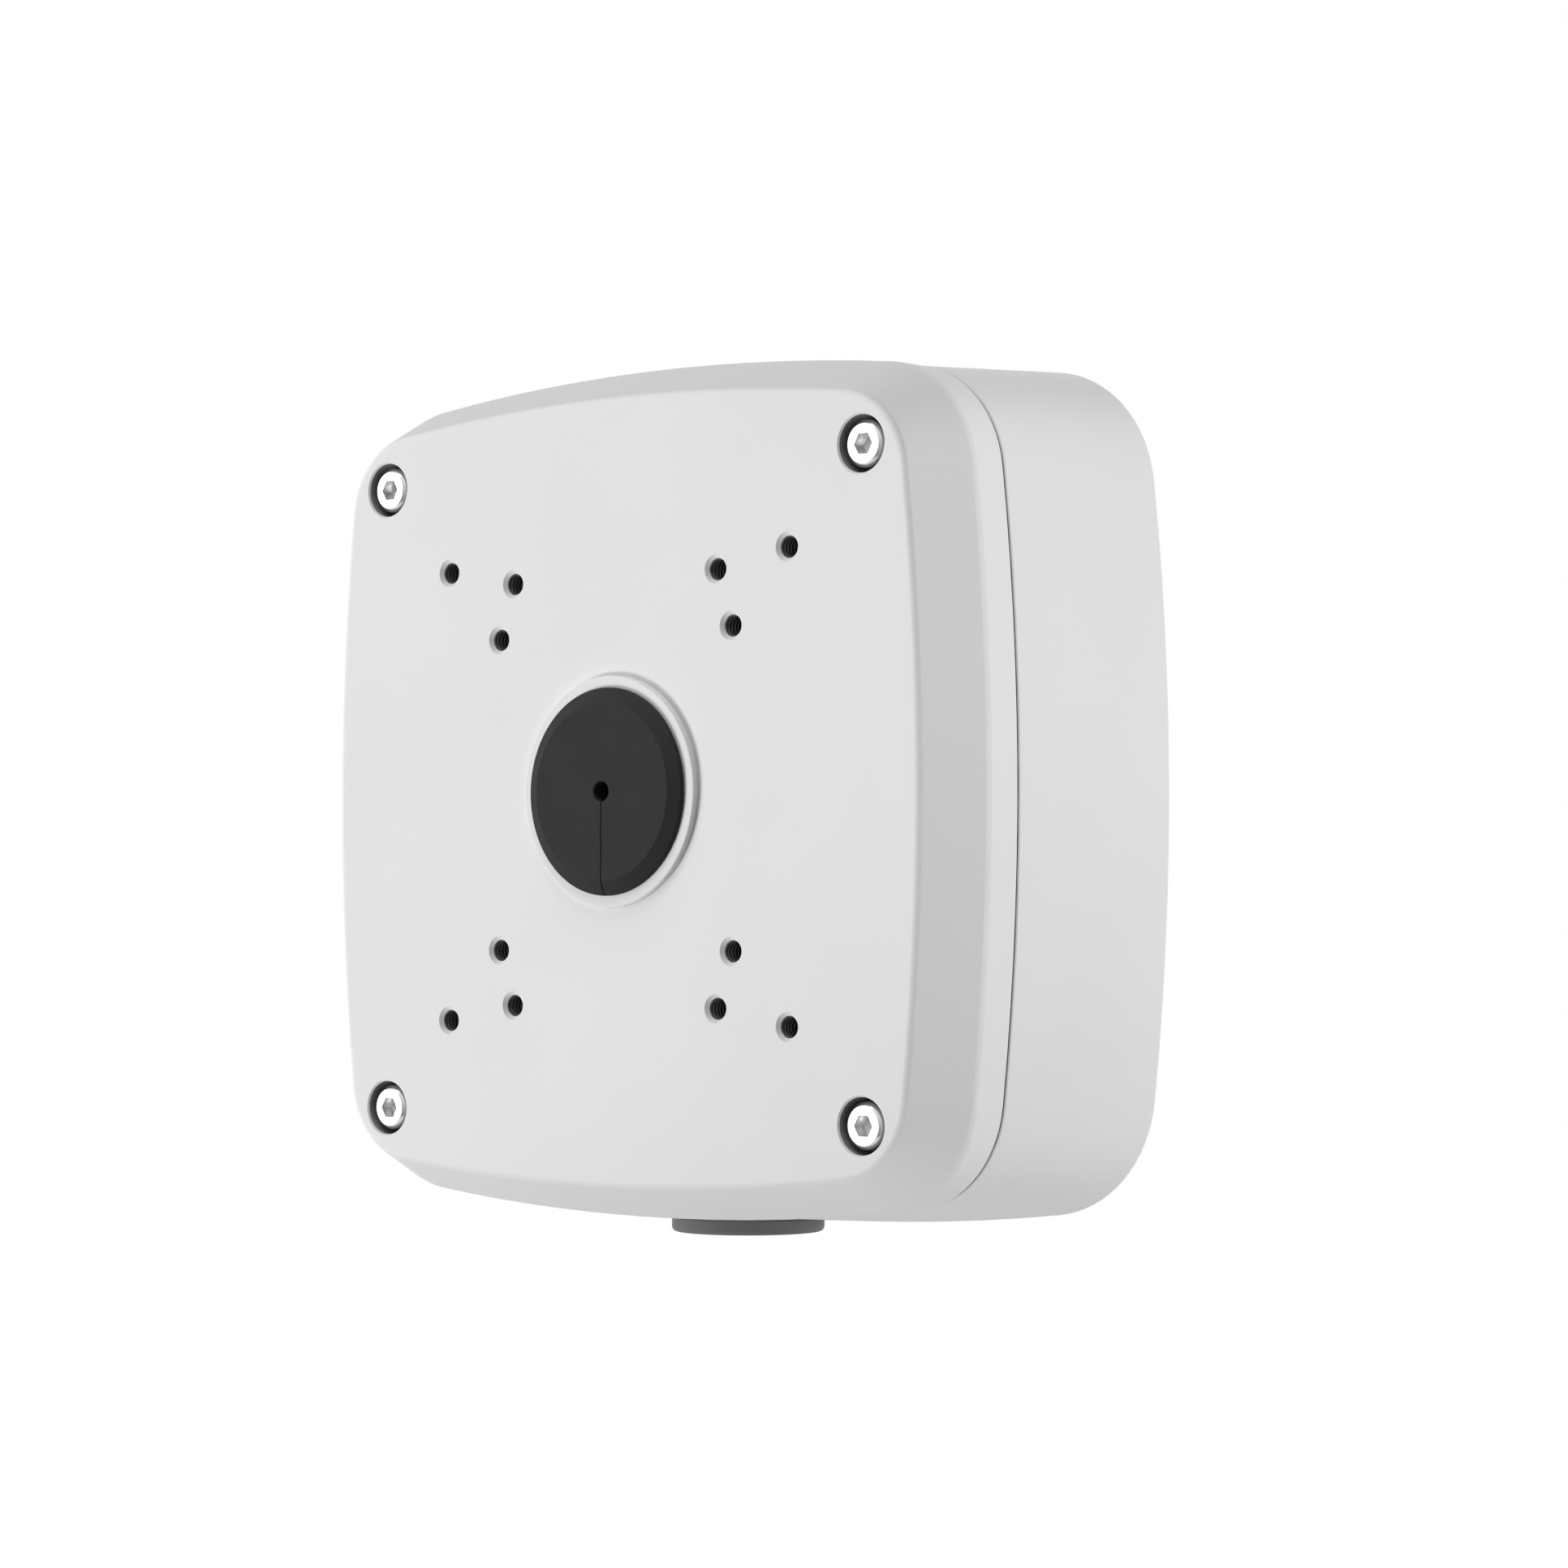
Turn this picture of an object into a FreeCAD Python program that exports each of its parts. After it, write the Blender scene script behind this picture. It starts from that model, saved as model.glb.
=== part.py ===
import FreeCAD, Part
import math
import os

# Square die-cast junction box that stands between a wall and a camera.
# Millimetres. The origin is the centre of the rear wall face, +Y points into
# the wall, the cover looks along -Y, and +Z is up.

Vec = FreeCAD.Vector

# Outline of the rim: a square with bulged sides and round corners
RIM_HALF = 64.64        # centre to the middle of a side
SIDE_RADIUS = 398.4     # the slow curve of a side
CORNER_RADIUS = 17.9

# Depths of both castings and their outer forms
COVER_DEPTH = 16.57     # front face to the middle of the parting line
BASE_DEPTH = 34.13      # middle of the parting line to the wall face
SLOPE_DEPTH = 9.86      # the sloped border, from the front face back
SLOPE_WIDTH = 5.10      # how far the slope stands out beyond the front face
BASE_FLARE = 2.36       # how far the base widens from its mouth to the wall
PARTING_GAP = 0.30
FACE_EDGE_ROUND = 1.2
SLOPE_EDGE_ROUND = 2.4
MOUTH_EDGE_ROUND = 0.35
WALL_EDGE_ROUND = 0.8

# Walls
PLATE = 3.5             # cover plate
COVER_LAND = 7.0        # cover's wall at the parting line
COVER_DRAFT = 1.0       # growth of that wall up to the plate
BACK_WALL = 3.5
BASE_WALL = 4.6         # base's wall at its mouth
BASE_DRAFT = 0.6        # growth of that wall down to the back wall
INNER_ROUND = 2.5       # round where a side wall meets the plate or the back wall

# Gasket groove in the cover and the tongue of the base that presses it
GROOVE_INSET = 2.3      # outline to the groove
GROOVE_WIDTH = 3.0
GROOVE_DEPTH = 4.2
GASKET_SIDE_GAP = 0.15
TONGUE_WIDTH = 1.2
TONGUE_HEIGHT = 2.0
TONGUE_TIP_GAP = 0.3    # tongue to gasket

# Cover screws, socket heads of M4 size
SCREW_INSET = 15.74     # middle of a side to the screws, each way
SCREW_RADIUS = 2.0
SCREW_LENGTH = 20.0     # under the head
SCREW_TIP = 0.6
HEAD_RADIUS = 3.5
HEAD_HEIGHT = 4.0
HEAD_EDGE = 0.3         # bevel round the top of the head
HEAD_BELOW = 0.5        # head's top below the front face
HEX_FLATS = 3.0
HEX_DEPTH = 2.2
RECESS_GAP = 0.72       # head to the side of its recess
RECESS_LIP = 0.25       # bevel at the mouth of the recess
SEAT_GAP = 0.15         # head to its seat
SCREW_HOLE_GAP = 0.25   # round the shank in the cover
THREAD_GAP = 0.05       # round a thread in its tapped hole
SCREW_BOSS_WALL = 1.78  # metal round the recess
TAP_BEYOND = 2.5        # tapped hole past the tip of the screw
SEAL_ROUND = 0.5        # half the thickness of the ring under a head
SEAL_GAP = 0.08         # ring to what it is threaded on
SEAL_ROOM = 0.3         # ring to the recess it moves out of

# Tapped holes for the camera, three squares or oblongs of four
CAMERA_HOLES = [(34.93, 34.93), (20.97, 32.44), (23.97, 23.97)]
CAMERA_HOLE_RADIUS = 1.65
CAMERA_HOLE_DEPTH = 9.0
CAMERA_SINK = 0.55      # countersink, as deep as it is wide
CAMERA_BOSS_WALL = 2.25
CAMERA_BOSS_DRAFT = 0.3 # growth of a boss up to the plate
CAMERA_BOSS_END = 2.0   # metal behind the blind end

# Raised ring and the grommet inside it
RING_WALL = 1.95
RING_HEIGHT = 1.0
RING_ROUND = 0.3
GROMMET_RADIUS = 15.45
GROMMET_GAP = 0.12      # grommet to the metal round it
GROMMET_SUNK = 0.5      # flange seat below the front face
GROMMET_SIDE = 0.74     # straight side in front of the ring
GROMMET_PROUD = 1.5     # flat face in front of the ring
GROMMET_BEVEL = 1.95    # width of the bevel round the flat face
FLANGE_REACH = 2.95     # flange beyond the hole through the plate
LIP_REACH = 1.9         # lip beyond that hole, behind the plate
LIP_LENGTH = 2.4
LIP_TAPER = 1.2
CABLE_HOLE_RADIUS = 1.5
MEMBRANE = 4.0          # rubber round the cable hole
GROMMET_WALL = 2.6      # rubber round the hollow behind the membrane
SLIT_WIDTH = 0.2

# Screw holes to the wall, with a rubber ring round each
WALL_HOLE_RADIUS = 2.5
WALL_SEAL_BORE_GAP = 0.2
WALL_SEAL_WIDTH = 2.3
WALL_SEAL_THICK = 1.5
WALL_SEAL_CLEAR = 1.587 # ring to the post of a cover screw
PAD_MARGIN = 1.0        # pad beyond the ring
PAD_HEIGHT = 1.5

# Cable hole in the back wall, shut by a rubber plug
REAR_ENTRY_DROP = 20.0  # below the centre
REAR_ENTRY_RADIUS = 12.5
REAR_FLANGE_REACH = 3.0
REAR_FLANGE_THICK = 2.0
REAR_PLUG_GAP = 0.12
REAR_PLUG_BELOW = 0.5   # plug's outer face below the wall face
REAR_CUP_WALL = 4.38
REAR_CUP_FLOOR = 1.5

# Threaded outlet in the bottom wall and its screwed plug
OUTLET_FROM_MOUTH = 14.43
OUTLET_SPOT_OUT = 0.36  # spot face, beyond the rim's lowest line
OUTLET_RADIUS = 10.0
OUTLET_BOSS_WALL = 3.55
OUTLET_BOSS_HEIGHT = 9.6    # spot face to the top of the inner boss
OUTLET_THREAD = 6.0
OUTLET_HEAD_REACH = 1.9 # head beyond the thread
OUTLET_HEAD_HEIGHT = 2.4
OUTLET_HEAD_ROUND = 0.6
OUTLET_HEAD_GAP = 0.3
OUTLET_SPOT_GAP = 0.6   # spot face beyond the head
OUTLET_UNDERCUT = 1.2   # thread down to the neck
OUTLET_NECK_LENGTH = 2.6
OUTLET_SEAL_ROUND = 0.9
OUTLET_SEAL_GAP = 0.1
OUTLET_HEX_FLATS = 8.0
OUTLET_HEX_DEPTH = 5.0

# Earthing point on the back wall
EARTH_OVER_ENTRY = 36.0 # above the cable hole in that wall
EARTH_BOSS_REACH = 0.4  # boss beyond the washer
EARTH_BOSS_HEIGHT = 4.0
EARTH_SCREW_RADIUS = 2.0
EARTH_SCREW_LENGTH = 5.0
EARTH_HOLE_BEYOND = 0.5
EARTH_HEAD_REACH = 1.8  # head beyond the shank
EARTH_HEAD_HEIGHT = 2.6
EARTH_HEAD_ROUND = 0.9
EARTH_SLOT_WIDTH = 1.0
EARTH_SLOT_DEPTH = 1.2
EARTH_WASHER_REACH = 0.8    # washer beyond the head
EARTH_WASHER_THICK = 0.8
EARTH_WASHER_GAP = 0.2

# Places and radii that follow from the sizes above
SCREW_AT = RIM_HALF - SCREW_INSET
RECESS_RADIUS = HEAD_RADIUS + RECESS_GAP
SCREW_BOSS_RADIUS = RECESS_RADIUS + SCREW_BOSS_WALL
CAMERA_BOSS_RADIUS = CAMERA_HOLE_RADIUS + CAMERA_BOSS_WALL
RING_OUTER = GROMMET_RADIUS + GROMMET_GAP + RING_WALL
GROMMET_FLAT = GROMMET_RADIUS - GROMMET_BEVEL
NECK_RADIUS = GROMMET_RADIUS - FLANGE_REACH
LIP_RADIUS = NECK_RADIUS + LIP_REACH
WALL_SEAL_RADIUS = WALL_HOLE_RADIUS + WALL_SEAL_BORE_GAP + WALL_SEAL_WIDTH
PAD_RADIUS = WALL_SEAL_RADIUS + PAD_MARGIN
WALL_HOLE_AT = SCREW_AT - (SCREW_BOSS_RADIUS + WALL_SEAL_CLEAR + WALL_SEAL_RADIUS) / math.sqrt(2)
REAR_ENTRY_Z = -REAR_ENTRY_DROP
REAR_FLANGE_RADIUS = REAR_ENTRY_RADIUS + REAR_FLANGE_REACH
REAR_CUP_RADIUS = REAR_ENTRY_RADIUS - REAR_PLUG_GAP - REAR_CUP_WALL
OUTLET_Y = OUTLET_FROM_MOUTH - BASE_DEPTH
OUTLET_SEAT = -RIM_HALF - OUTLET_SPOT_OUT
OUTLET_BOSS_RADIUS = OUTLET_RADIUS + THREAD_GAP + OUTLET_BOSS_WALL
OUTLET_HEAD_RADIUS = OUTLET_RADIUS + OUTLET_HEAD_REACH
OUTLET_NECK_RADIUS = OUTLET_RADIUS - OUTLET_UNDERCUT
EARTH_Z = REAR_ENTRY_Z + EARTH_OVER_ENTRY
EARTH_HEAD_RADIUS = EARTH_SCREW_RADIUS + EARTH_HEAD_REACH
EARTH_WASHER_RADIUS = EARTH_HEAD_RADIUS + EARTH_WASHER_REACH
EARTH_BOSS_RADIUS = EARTH_WASHER_RADIUS + EARTH_BOSS_REACH

# Planes along Y that several pieces share
FRONT = -BASE_DEPTH - COVER_DEPTH
SLOPE_BACK = FRONT + SLOPE_DEPTH
COVER_BACK = FRONT + COVER_DEPTH - PARTING_GAP / 2
BASE_MOUTH = FRONT + COVER_DEPTH + PARTING_GAP / 2
PLATE_BACK = FRONT + PLATE
BASE_FLOOR = -BACK_WALL
HEAD_TOP = FRONT + HEAD_BELOW
HEAD_SEAT = HEAD_TOP + HEAD_HEIGHT
SCREW_END = HEAD_SEAT + SCREW_LENGTH
GROOVE_FLOOR = COVER_BACK - GROOVE_DEPTH
TONGUE_TIP = BASE_MOUTH - TONGUE_HEIGHT
RING_FRONT = FRONT - RING_HEIGHT
EARTH_TOP = BASE_FLOOR - EARTH_BOSS_HEIGHT

CORNERS = [(1, 1), (1, -1), (-1, -1), (-1, 1)]
OUTWARD = Vec(0, -1, 0)
INWARD = Vec(0, 1, 0)
DOWN = Vec(0, 0, -1)


def outline(inset, y):
    """The box's outline, drawn in by an inset, in the plane at y."""
    side_back = SIDE_RADIUS - RIM_HALF
    reach = SIDE_RADIUS - CORNER_RADIUS
    corner_at = (math.sqrt(2 * reach ** 2 - side_back ** 2) - side_back) / 2
    tangent = math.degrees(math.atan2(corner_at, corner_at + side_back))
    edges = []
    for quarter in range(4):
        turn = 90 * quarter
        side = arc_points(-side_back, 0, SIDE_RADIUS - inset, -tangent, tangent, turn, y)
        corner = arc_points(corner_at, corner_at, CORNER_RADIUS - inset,
                            tangent, 90 - tangent, turn, y)
        edges.append(Part.Arc(*side).toShape())
        edges.append(Part.Arc(*corner).toShape())
    return Part.Wire(edges)


def arc_points(x, z, radius, start, end, turn, y):
    """Start, middle and end of an arc, with everything turned about the box's axis."""
    points = []
    for angle in (start, (start + end) / 2, end):
        px = x + radius * math.cos(math.radians(angle))
        pz = z + radius * math.sin(math.radians(angle))
        c, s = math.cos(math.radians(turn)), math.sin(math.radians(turn))
        points.append(Vec(px * c - pz * s, y, px * s + pz * c))
    return points


def tapered(*sections):
    """A solid through outlines, each given as an inset and a place along Y."""
    wires = [outline(inset, y) for inset, y in sections]
    return Part.makeLoft(wires, True, True)


def band(inset, width, y_back, y_front):
    """A wall of even width that follows the outline."""
    whole = tapered((inset, y_back), (inset, y_front))
    core = tapered((inset + width, y_back), (inset + width, y_front))
    return whole.cut(core)


def rod(x, z, radius, y_back, y_front):
    """A round bar along Y."""
    return Part.makeCylinder(radius, y_back - y_front, Vec(x, y_back, z), OUTWARD)


def taper_rod(x, z, radius_back, radius_front, y_back, y_front):
    """A cone along Y."""
    return Part.makeCone(radius_back, radius_front, y_back - y_front,
                         Vec(x, y_back, z), OUTWARD)


def six_sided(centre, flats, direction, length):
    """A hexagonal bar with its corners to the left and right."""
    radius = flats / math.sqrt(3)
    across = Vec(1, 0, 0)
    along = direction.cross(across)
    points = []
    for corner in range(7):
        angle = math.radians(60 * corner)
        points.append(centre + across * (radius * math.cos(angle))
                      + along * (radius * math.sin(angle)))
    face = Part.Face(Part.makePolygon(points))
    return face.extrude(direction * length)


def rounded(solid, edges, radius):
    """The solid with those edges rounded."""
    return solid.makeFillet(radius, edges)


def edges_in_plane(solid, y):
    """Edges that lie in the plane at y."""
    return [edge for edge in solid.Edges
            if all(abs(v.Y - y) < 1e-6 for v in edge.Vertexes)]


def circles_at(solid, height, axis, radius):
    """Round edges of one radius at a height along an axis, given as 1 for Y or 2 for Z."""
    found = []
    for edge in solid.Edges:
        curve = edge.Curve
        if isinstance(curve, Part.Circle) and abs(curve.Radius - radius) < 1e-6:
            if abs(curve.Center[axis] - height) < 1e-6:
                found.append(edge)
    return found


def ring(centre, direction, middle_radius, half_thick):
    """A round rubber ring."""
    return Part.makeTorus(middle_radius, half_thick, centre, direction)


def make_cover():
    """Cast cover: plate, sloped border, rim, raised ring, bosses and holes."""
    shell = tapered((0, COVER_BACK), (0, SLOPE_BACK), (SLOPE_WIDTH, FRONT))
    shell = rounded(shell, edges_in_plane(shell, SLOPE_BACK), SLOPE_EDGE_ROUND)
    shell = rounded(shell, edges_in_plane(shell, FRONT), FACE_EDGE_ROUND)
    shell = rounded(shell, edges_in_plane(shell, COVER_BACK), MOUTH_EDGE_ROUND)

    hollow = tapered((COVER_LAND, COVER_BACK + 1), (COVER_LAND, COVER_BACK),
                     (COVER_LAND + COVER_DRAFT, PLATE_BACK))
    hollow = rounded(hollow, edges_in_plane(hollow, PLATE_BACK), INNER_ROUND)
    bosses = []
    for sx, sz in CORNERS:
        bosses.append(rod(sx * SCREW_AT, sz * SCREW_AT, SCREW_BOSS_RADIUS,
                          COVER_BACK, FRONT + PLATE / 2))
        boss_end = FRONT + CAMERA_HOLE_DEPTH + CAMERA_BOSS_END
        for x, z in CAMERA_HOLES:
            bosses.append(taper_rod(sx * x, sz * z, CAMERA_BOSS_RADIUS,
                                    CAMERA_BOSS_RADIUS + CAMERA_BOSS_DRAFT,
                                    boss_end, FRONT + PLATE / 2))
    raised = rod(0, 0, RING_OUTER, FRONT + PLATE / 2, RING_FRONT)
    raised = rounded(raised, circles_at(raised, RING_FRONT, 1, RING_OUTER), RING_ROUND)
    cover = shell.cut(hollow).fuse(bosses + [raised])

    cuts = [band(GROOVE_INSET, GROOVE_WIDTH, COVER_BACK + 1, GROOVE_FLOOR)]
    seat = FRONT + GROMMET_SUNK
    cuts.append(rod(0, 0, GROMMET_RADIUS + GROMMET_GAP, seat, RING_FRONT - 1))
    cuts.append(rod(0, 0, NECK_RADIUS, PLATE_BACK + 1, RING_FRONT - 1))
    for sx, sz in CORNERS:
        cuts += screw_way(sx * SCREW_AT, sz * SCREW_AT)
        for x, z in CAMERA_HOLES:
            cuts += camera_hole(sx * x, sz * z)
    return cover.cut(cuts)


def screw_way(x, z):
    """What a cover screw's recess, ring and shank take out of the cover."""
    seat = HEAD_SEAT + SEAT_GAP
    seal_depth = 2 * SEAL_ROUND + SEAL_GAP
    seal_radius = SCREW_RADIUS + SEAL_GAP + 2 * SEAL_ROUND + SEAL_ROOM
    lip = taper_rod(x, z, RECESS_RADIUS, RECESS_RADIUS + 2 * RECESS_LIP,
                    FRONT + RECESS_LIP, FRONT - RECESS_LIP)
    return [rod(x, z, RECESS_RADIUS, seat, FRONT - 1), lip,
            rod(x, z, seal_radius, seat + seal_depth, FRONT),
            rod(x, z, SCREW_RADIUS + SCREW_HOLE_GAP, COVER_BACK + 1, FRONT)]


def camera_hole(x, z):
    """A blind tapped hole with its countersink."""
    bottom = FRONT + CAMERA_HOLE_DEPTH
    sink = taper_rod(x, z, CAMERA_HOLE_RADIUS, CAMERA_HOLE_RADIUS + 2 * CAMERA_SINK,
                     FRONT + CAMERA_SINK, FRONT - CAMERA_SINK)
    drill_end = taper_rod(x, z, 0, CAMERA_HOLE_RADIUS,
                          bottom + CAMERA_HOLE_RADIUS / 2, bottom)
    return [rod(x, z, CAMERA_HOLE_RADIUS, bottom, FRONT - 1), sink, drill_end]


def make_gasket():
    """Rubber gasket that lies on the floor of the cover's groove."""
    return band(GROOVE_INSET + GASKET_SIDE_GAP, GROOVE_WIDTH - 2 * GASKET_SIDE_GAP,
                TONGUE_TIP - TONGUE_TIP_GAP, GROOVE_FLOOR)


def make_grommet():
    """Rubber cable grommet: flange, neck, snap lip, cable hole and slit."""
    side_end = RING_FRONT - GROMMET_SIDE
    face = RING_FRONT - GROMMET_PROUD
    seat = FRONT + GROMMET_SUNK
    lip_start = PLATE_BACK + GROMMET_GAP
    lip_end = lip_start + LIP_LENGTH
    flange = rod(0, 0, GROMMET_RADIUS, seat, side_end)
    bevel = taper_rod(0, 0, GROMMET_RADIUS, GROMMET_FLAT, side_end, face)
    neck = rod(0, 0, NECK_RADIUS - GROMMET_GAP, lip_end, seat)
    lip = taper_rod(0, 0, LIP_RADIUS - LIP_TAPER, LIP_RADIUS, lip_end, lip_start)
    body = flange.fuse([bevel, neck, lip])
    hollow_radius = NECK_RADIUS - GROMMET_GAP - GROMMET_WALL
    hollow = rod(0, 0, hollow_radius, lip_end + 1, face + MEMBRANE)
    hole = rod(0, 0, CABLE_HOLE_RADIUS, lip_end + 1, face - 1)
    slit = Part.makeBox(SLIT_WIDTH, lip_end + 2 - face, GROMMET_RADIUS + 1,
                        Vec(-SLIT_WIDTH / 2, face - 1, -GROMMET_RADIUS - 1))
    return body.removeSplitter().cut([hollow, hole, slit])


def make_base():
    """Cast rear housing: back wall, flared sides, posts, tongue, outlet and holes."""
    block = tapered((-BASE_FLARE, 0), (0, BASE_MOUTH))
    shell = rounded(block, edges_in_plane(block, BASE_MOUTH), MOUTH_EDGE_ROUND)
    shell = rounded(shell, edges_in_plane(shell, 0), WALL_EDGE_ROUND)
    hollow = tapered((BASE_WALL + BASE_DRAFT, BASE_FLOOR), (BASE_WALL, BASE_MOUTH),
                     (BASE_WALL, BASE_MOUTH - 1))
    hollow = rounded(hollow, edges_in_plane(hollow, BASE_FLOOR), INNER_ROUND)
    tongue_inset = GROOVE_INSET + (GROOVE_WIDTH - TONGUE_WIDTH) / 2
    added = [band(tongue_inset, TONGUE_WIDTH, BASE_MOUTH + 1, TONGUE_TIP)]
    for sx, sz in CORNERS:
        added.append(corner_post(sx, sz))
        added.append(rod(sx * WALL_HOLE_AT, sz * WALL_HOLE_AT, PAD_RADIUS,
                         BASE_FLOOR / 2, BASE_FLOOR - PAD_HEIGHT))
    added.append(rod(0, EARTH_Z, EARTH_BOSS_RADIUS, BASE_FLOOR / 2, EARTH_TOP))
    outlet_boss = Part.makeCylinder(OUTLET_BOSS_RADIUS, OUTLET_BOSS_HEIGHT,
                                    Vec(0, OUTLET_Y, OUTLET_SEAT), Vec(0, 0, 1))
    added.append(outlet_boss.common(shell))
    base = shell.cut(hollow).fuse(added)

    cuts = [rod(0, REAR_ENTRY_Z, REAR_ENTRY_RADIUS, 1, BASE_FLOOR - 1)]
    for sx, sz in CORNERS:
        cuts.append(rod(sx * SCREW_AT, sz * SCREW_AT, SCREW_RADIUS + THREAD_GAP,
                        SCREW_END + TAP_BEYOND, BASE_MOUTH - 1))
        cuts.append(rod(sx * WALL_HOLE_AT, sz * WALL_HOLE_AT, WALL_HOLE_RADIUS,
                        1, BASE_FLOOR - PAD_HEIGHT - 1))
    cuts.append(rod(0, EARTH_Z, EARTH_SCREW_RADIUS + THREAD_GAP,
                    EARTH_TOP + EARTH_SCREW_LENGTH + EARTH_HOLE_BEYOND, EARTH_TOP - 1))
    return base.cut(cuts + outlet_cuts())


def corner_post(sx, sz):
    """A post for a cover screw, with a web to the corner of the wall."""
    x, z = sx * SCREW_AT, sz * SCREW_AT
    post = rod(x, z, SCREW_BOSS_RADIUS, BASE_FLOOR / 2, BASE_MOUTH)
    length = SCREW_BOSS_RADIUS + BASE_WALL
    web = Part.makeBox(length, BASE_FLOOR / 2 - BASE_MOUTH, SCREW_BOSS_RADIUS,
                       Vec(x, BASE_MOUTH, z - SCREW_BOSS_RADIUS / 2))
    heading = math.degrees(math.atan2(sz, sx))
    web.rotate(Vec(x, 0, z), OUTWARD, heading)
    return post.fuse(web)


def outlet_cuts():
    """Spot face, ring recess and threaded hole of the bottom outlet."""
    seal_recess = OUTLET_NECK_RADIUS + OUTLET_SEAL_GAP + 2 * OUTLET_SEAL_ROUND + SEAL_ROOM
    recess_depth = OUTLET_NECK_LENGTH - OUTLET_HEAD_GAP
    far = OUTLET_HEAD_HEIGHT + BASE_FLARE
    seat = Vec(0, OUTLET_Y, OUTLET_SEAT)
    up = Vec(0, 0, 1)
    return [Part.makeCylinder(OUTLET_HEAD_RADIUS + OUTLET_SPOT_GAP, far, seat, DOWN),
            Part.makeCylinder(seal_recess, recess_depth, seat, up),
            Part.makeCylinder(OUTLET_RADIUS + THREAD_GAP,
                              OUTLET_BOSS_HEIGHT + 1, seat, up)]


def make_outlet_plug():
    """Screwed metal plug of the bottom outlet, with a hexagonal socket."""
    up = Vec(0, 0, 1)
    under_head = Vec(0, OUTLET_Y, OUTLET_SEAT - OUTLET_HEAD_GAP)
    foot = under_head - up * OUTLET_HEAD_HEIGHT
    head = Part.makeCylinder(OUTLET_HEAD_RADIUS, OUTLET_HEAD_HEIGHT, foot, up)
    head = rounded(head, circles_at(head, foot.z, 2, OUTLET_HEAD_RADIUS), OUTLET_HEAD_ROUND)
    neck = Part.makeCylinder(OUTLET_NECK_RADIUS, OUTLET_NECK_LENGTH, under_head, up)
    start = under_head + up * OUTLET_NECK_LENGTH
    thread = Part.makeCylinder(OUTLET_RADIUS, OUTLET_THREAD, start, up)
    lead = OUTLET_RADIUS - OUTLET_NECK_RADIUS
    thread = thread.makeChamfer(lead / 2, circles_at(thread, start.z + OUTLET_THREAD, 2,
                                                     OUTLET_RADIUS))
    socket = six_sided(foot, OUTLET_HEX_FLATS, up, OUTLET_HEX_DEPTH)
    return head.fuse([neck, thread]).removeSplitter().cut(socket)


def make_outlet_seal():
    """Rubber ring round the neck of the outlet plug."""
    height = OUTLET_SEAT - OUTLET_HEAD_GAP + OUTLET_SEAL_ROUND + OUTLET_SEAL_GAP / 2
    return ring(Vec(0, OUTLET_Y, height), Vec(0, 0, 1),
                OUTLET_NECK_RADIUS + OUTLET_SEAL_GAP + OUTLET_SEAL_ROUND, OUTLET_SEAL_ROUND)


def make_cover_screw(x, z):
    """Socket head screw: bevelled head, hexagonal socket, shank with a pointed tip."""
    head = rod(x, z, HEAD_RADIUS, HEAD_SEAT, HEAD_TOP)
    head = head.makeChamfer(HEAD_EDGE, circles_at(head, HEAD_TOP, 1, HEAD_RADIUS))
    shank = rod(x, z, SCREW_RADIUS, SCREW_END, HEAD_SEAT)
    shank = shank.makeChamfer(SCREW_TIP, circles_at(shank, SCREW_END, 1, SCREW_RADIUS))
    socket = six_sided(Vec(x, HEAD_TOP, z), HEX_FLATS, INWARD, HEX_DEPTH)
    drill = taper_rod(x, z, 0, HEX_FLATS / 2, HEAD_TOP + HEX_DEPTH + HEX_FLATS / 4,
                      HEAD_TOP + HEX_DEPTH)
    return head.fuse(shank).cut([socket, drill])


def make_screw_seal(x, z):
    """Rubber ring on a screw's shank, under its head."""
    middle = HEAD_SEAT + SEAL_GAP / 2 + SEAL_ROUND
    return ring(Vec(x, middle, z), OUTWARD, SCREW_RADIUS + SEAL_GAP + SEAL_ROUND, SEAL_ROUND)


def make_wall_seal(x, z):
    """Rubber ring on the pad round a hole for a wall screw."""
    pad_top = BASE_FLOOR - PAD_HEIGHT
    disc = rod(x, z, WALL_SEAL_RADIUS, pad_top, pad_top - WALL_SEAL_THICK)
    bore = rod(x, z, WALL_HOLE_RADIUS + WALL_SEAL_BORE_GAP, pad_top + 1,
               pad_top - WALL_SEAL_THICK - 1)
    return disc.cut(bore)


def make_rear_plug():
    """Rubber plug of the cable hole in the back wall, pushed in from inside."""
    flange_top = BASE_FLOOR - REAR_FLANGE_THICK
    flange = rod(0, REAR_ENTRY_Z, REAR_FLANGE_RADIUS, BASE_FLOOR, flange_top)
    spigot = rod(0, REAR_ENTRY_Z, REAR_ENTRY_RADIUS - REAR_PLUG_GAP,
                 -REAR_PLUG_BELOW, BASE_FLOOR)
    cup = rod(0, REAR_ENTRY_Z, REAR_CUP_RADIUS, -REAR_PLUG_BELOW - REAR_CUP_FLOOR,
              flange_top - 1)
    return flange.fuse(spigot).removeSplitter().cut(cup)


def make_earth_washer():
    """Flat washer on the earthing boss."""
    disc = rod(0, EARTH_Z, EARTH_WASHER_RADIUS, EARTH_TOP, EARTH_TOP - EARTH_WASHER_THICK)
    bore = rod(0, EARTH_Z, EARTH_SCREW_RADIUS + EARTH_WASHER_GAP, EARTH_TOP + 1,
               EARTH_TOP - EARTH_WASHER_THICK - 1)
    return disc.cut(bore)


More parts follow.
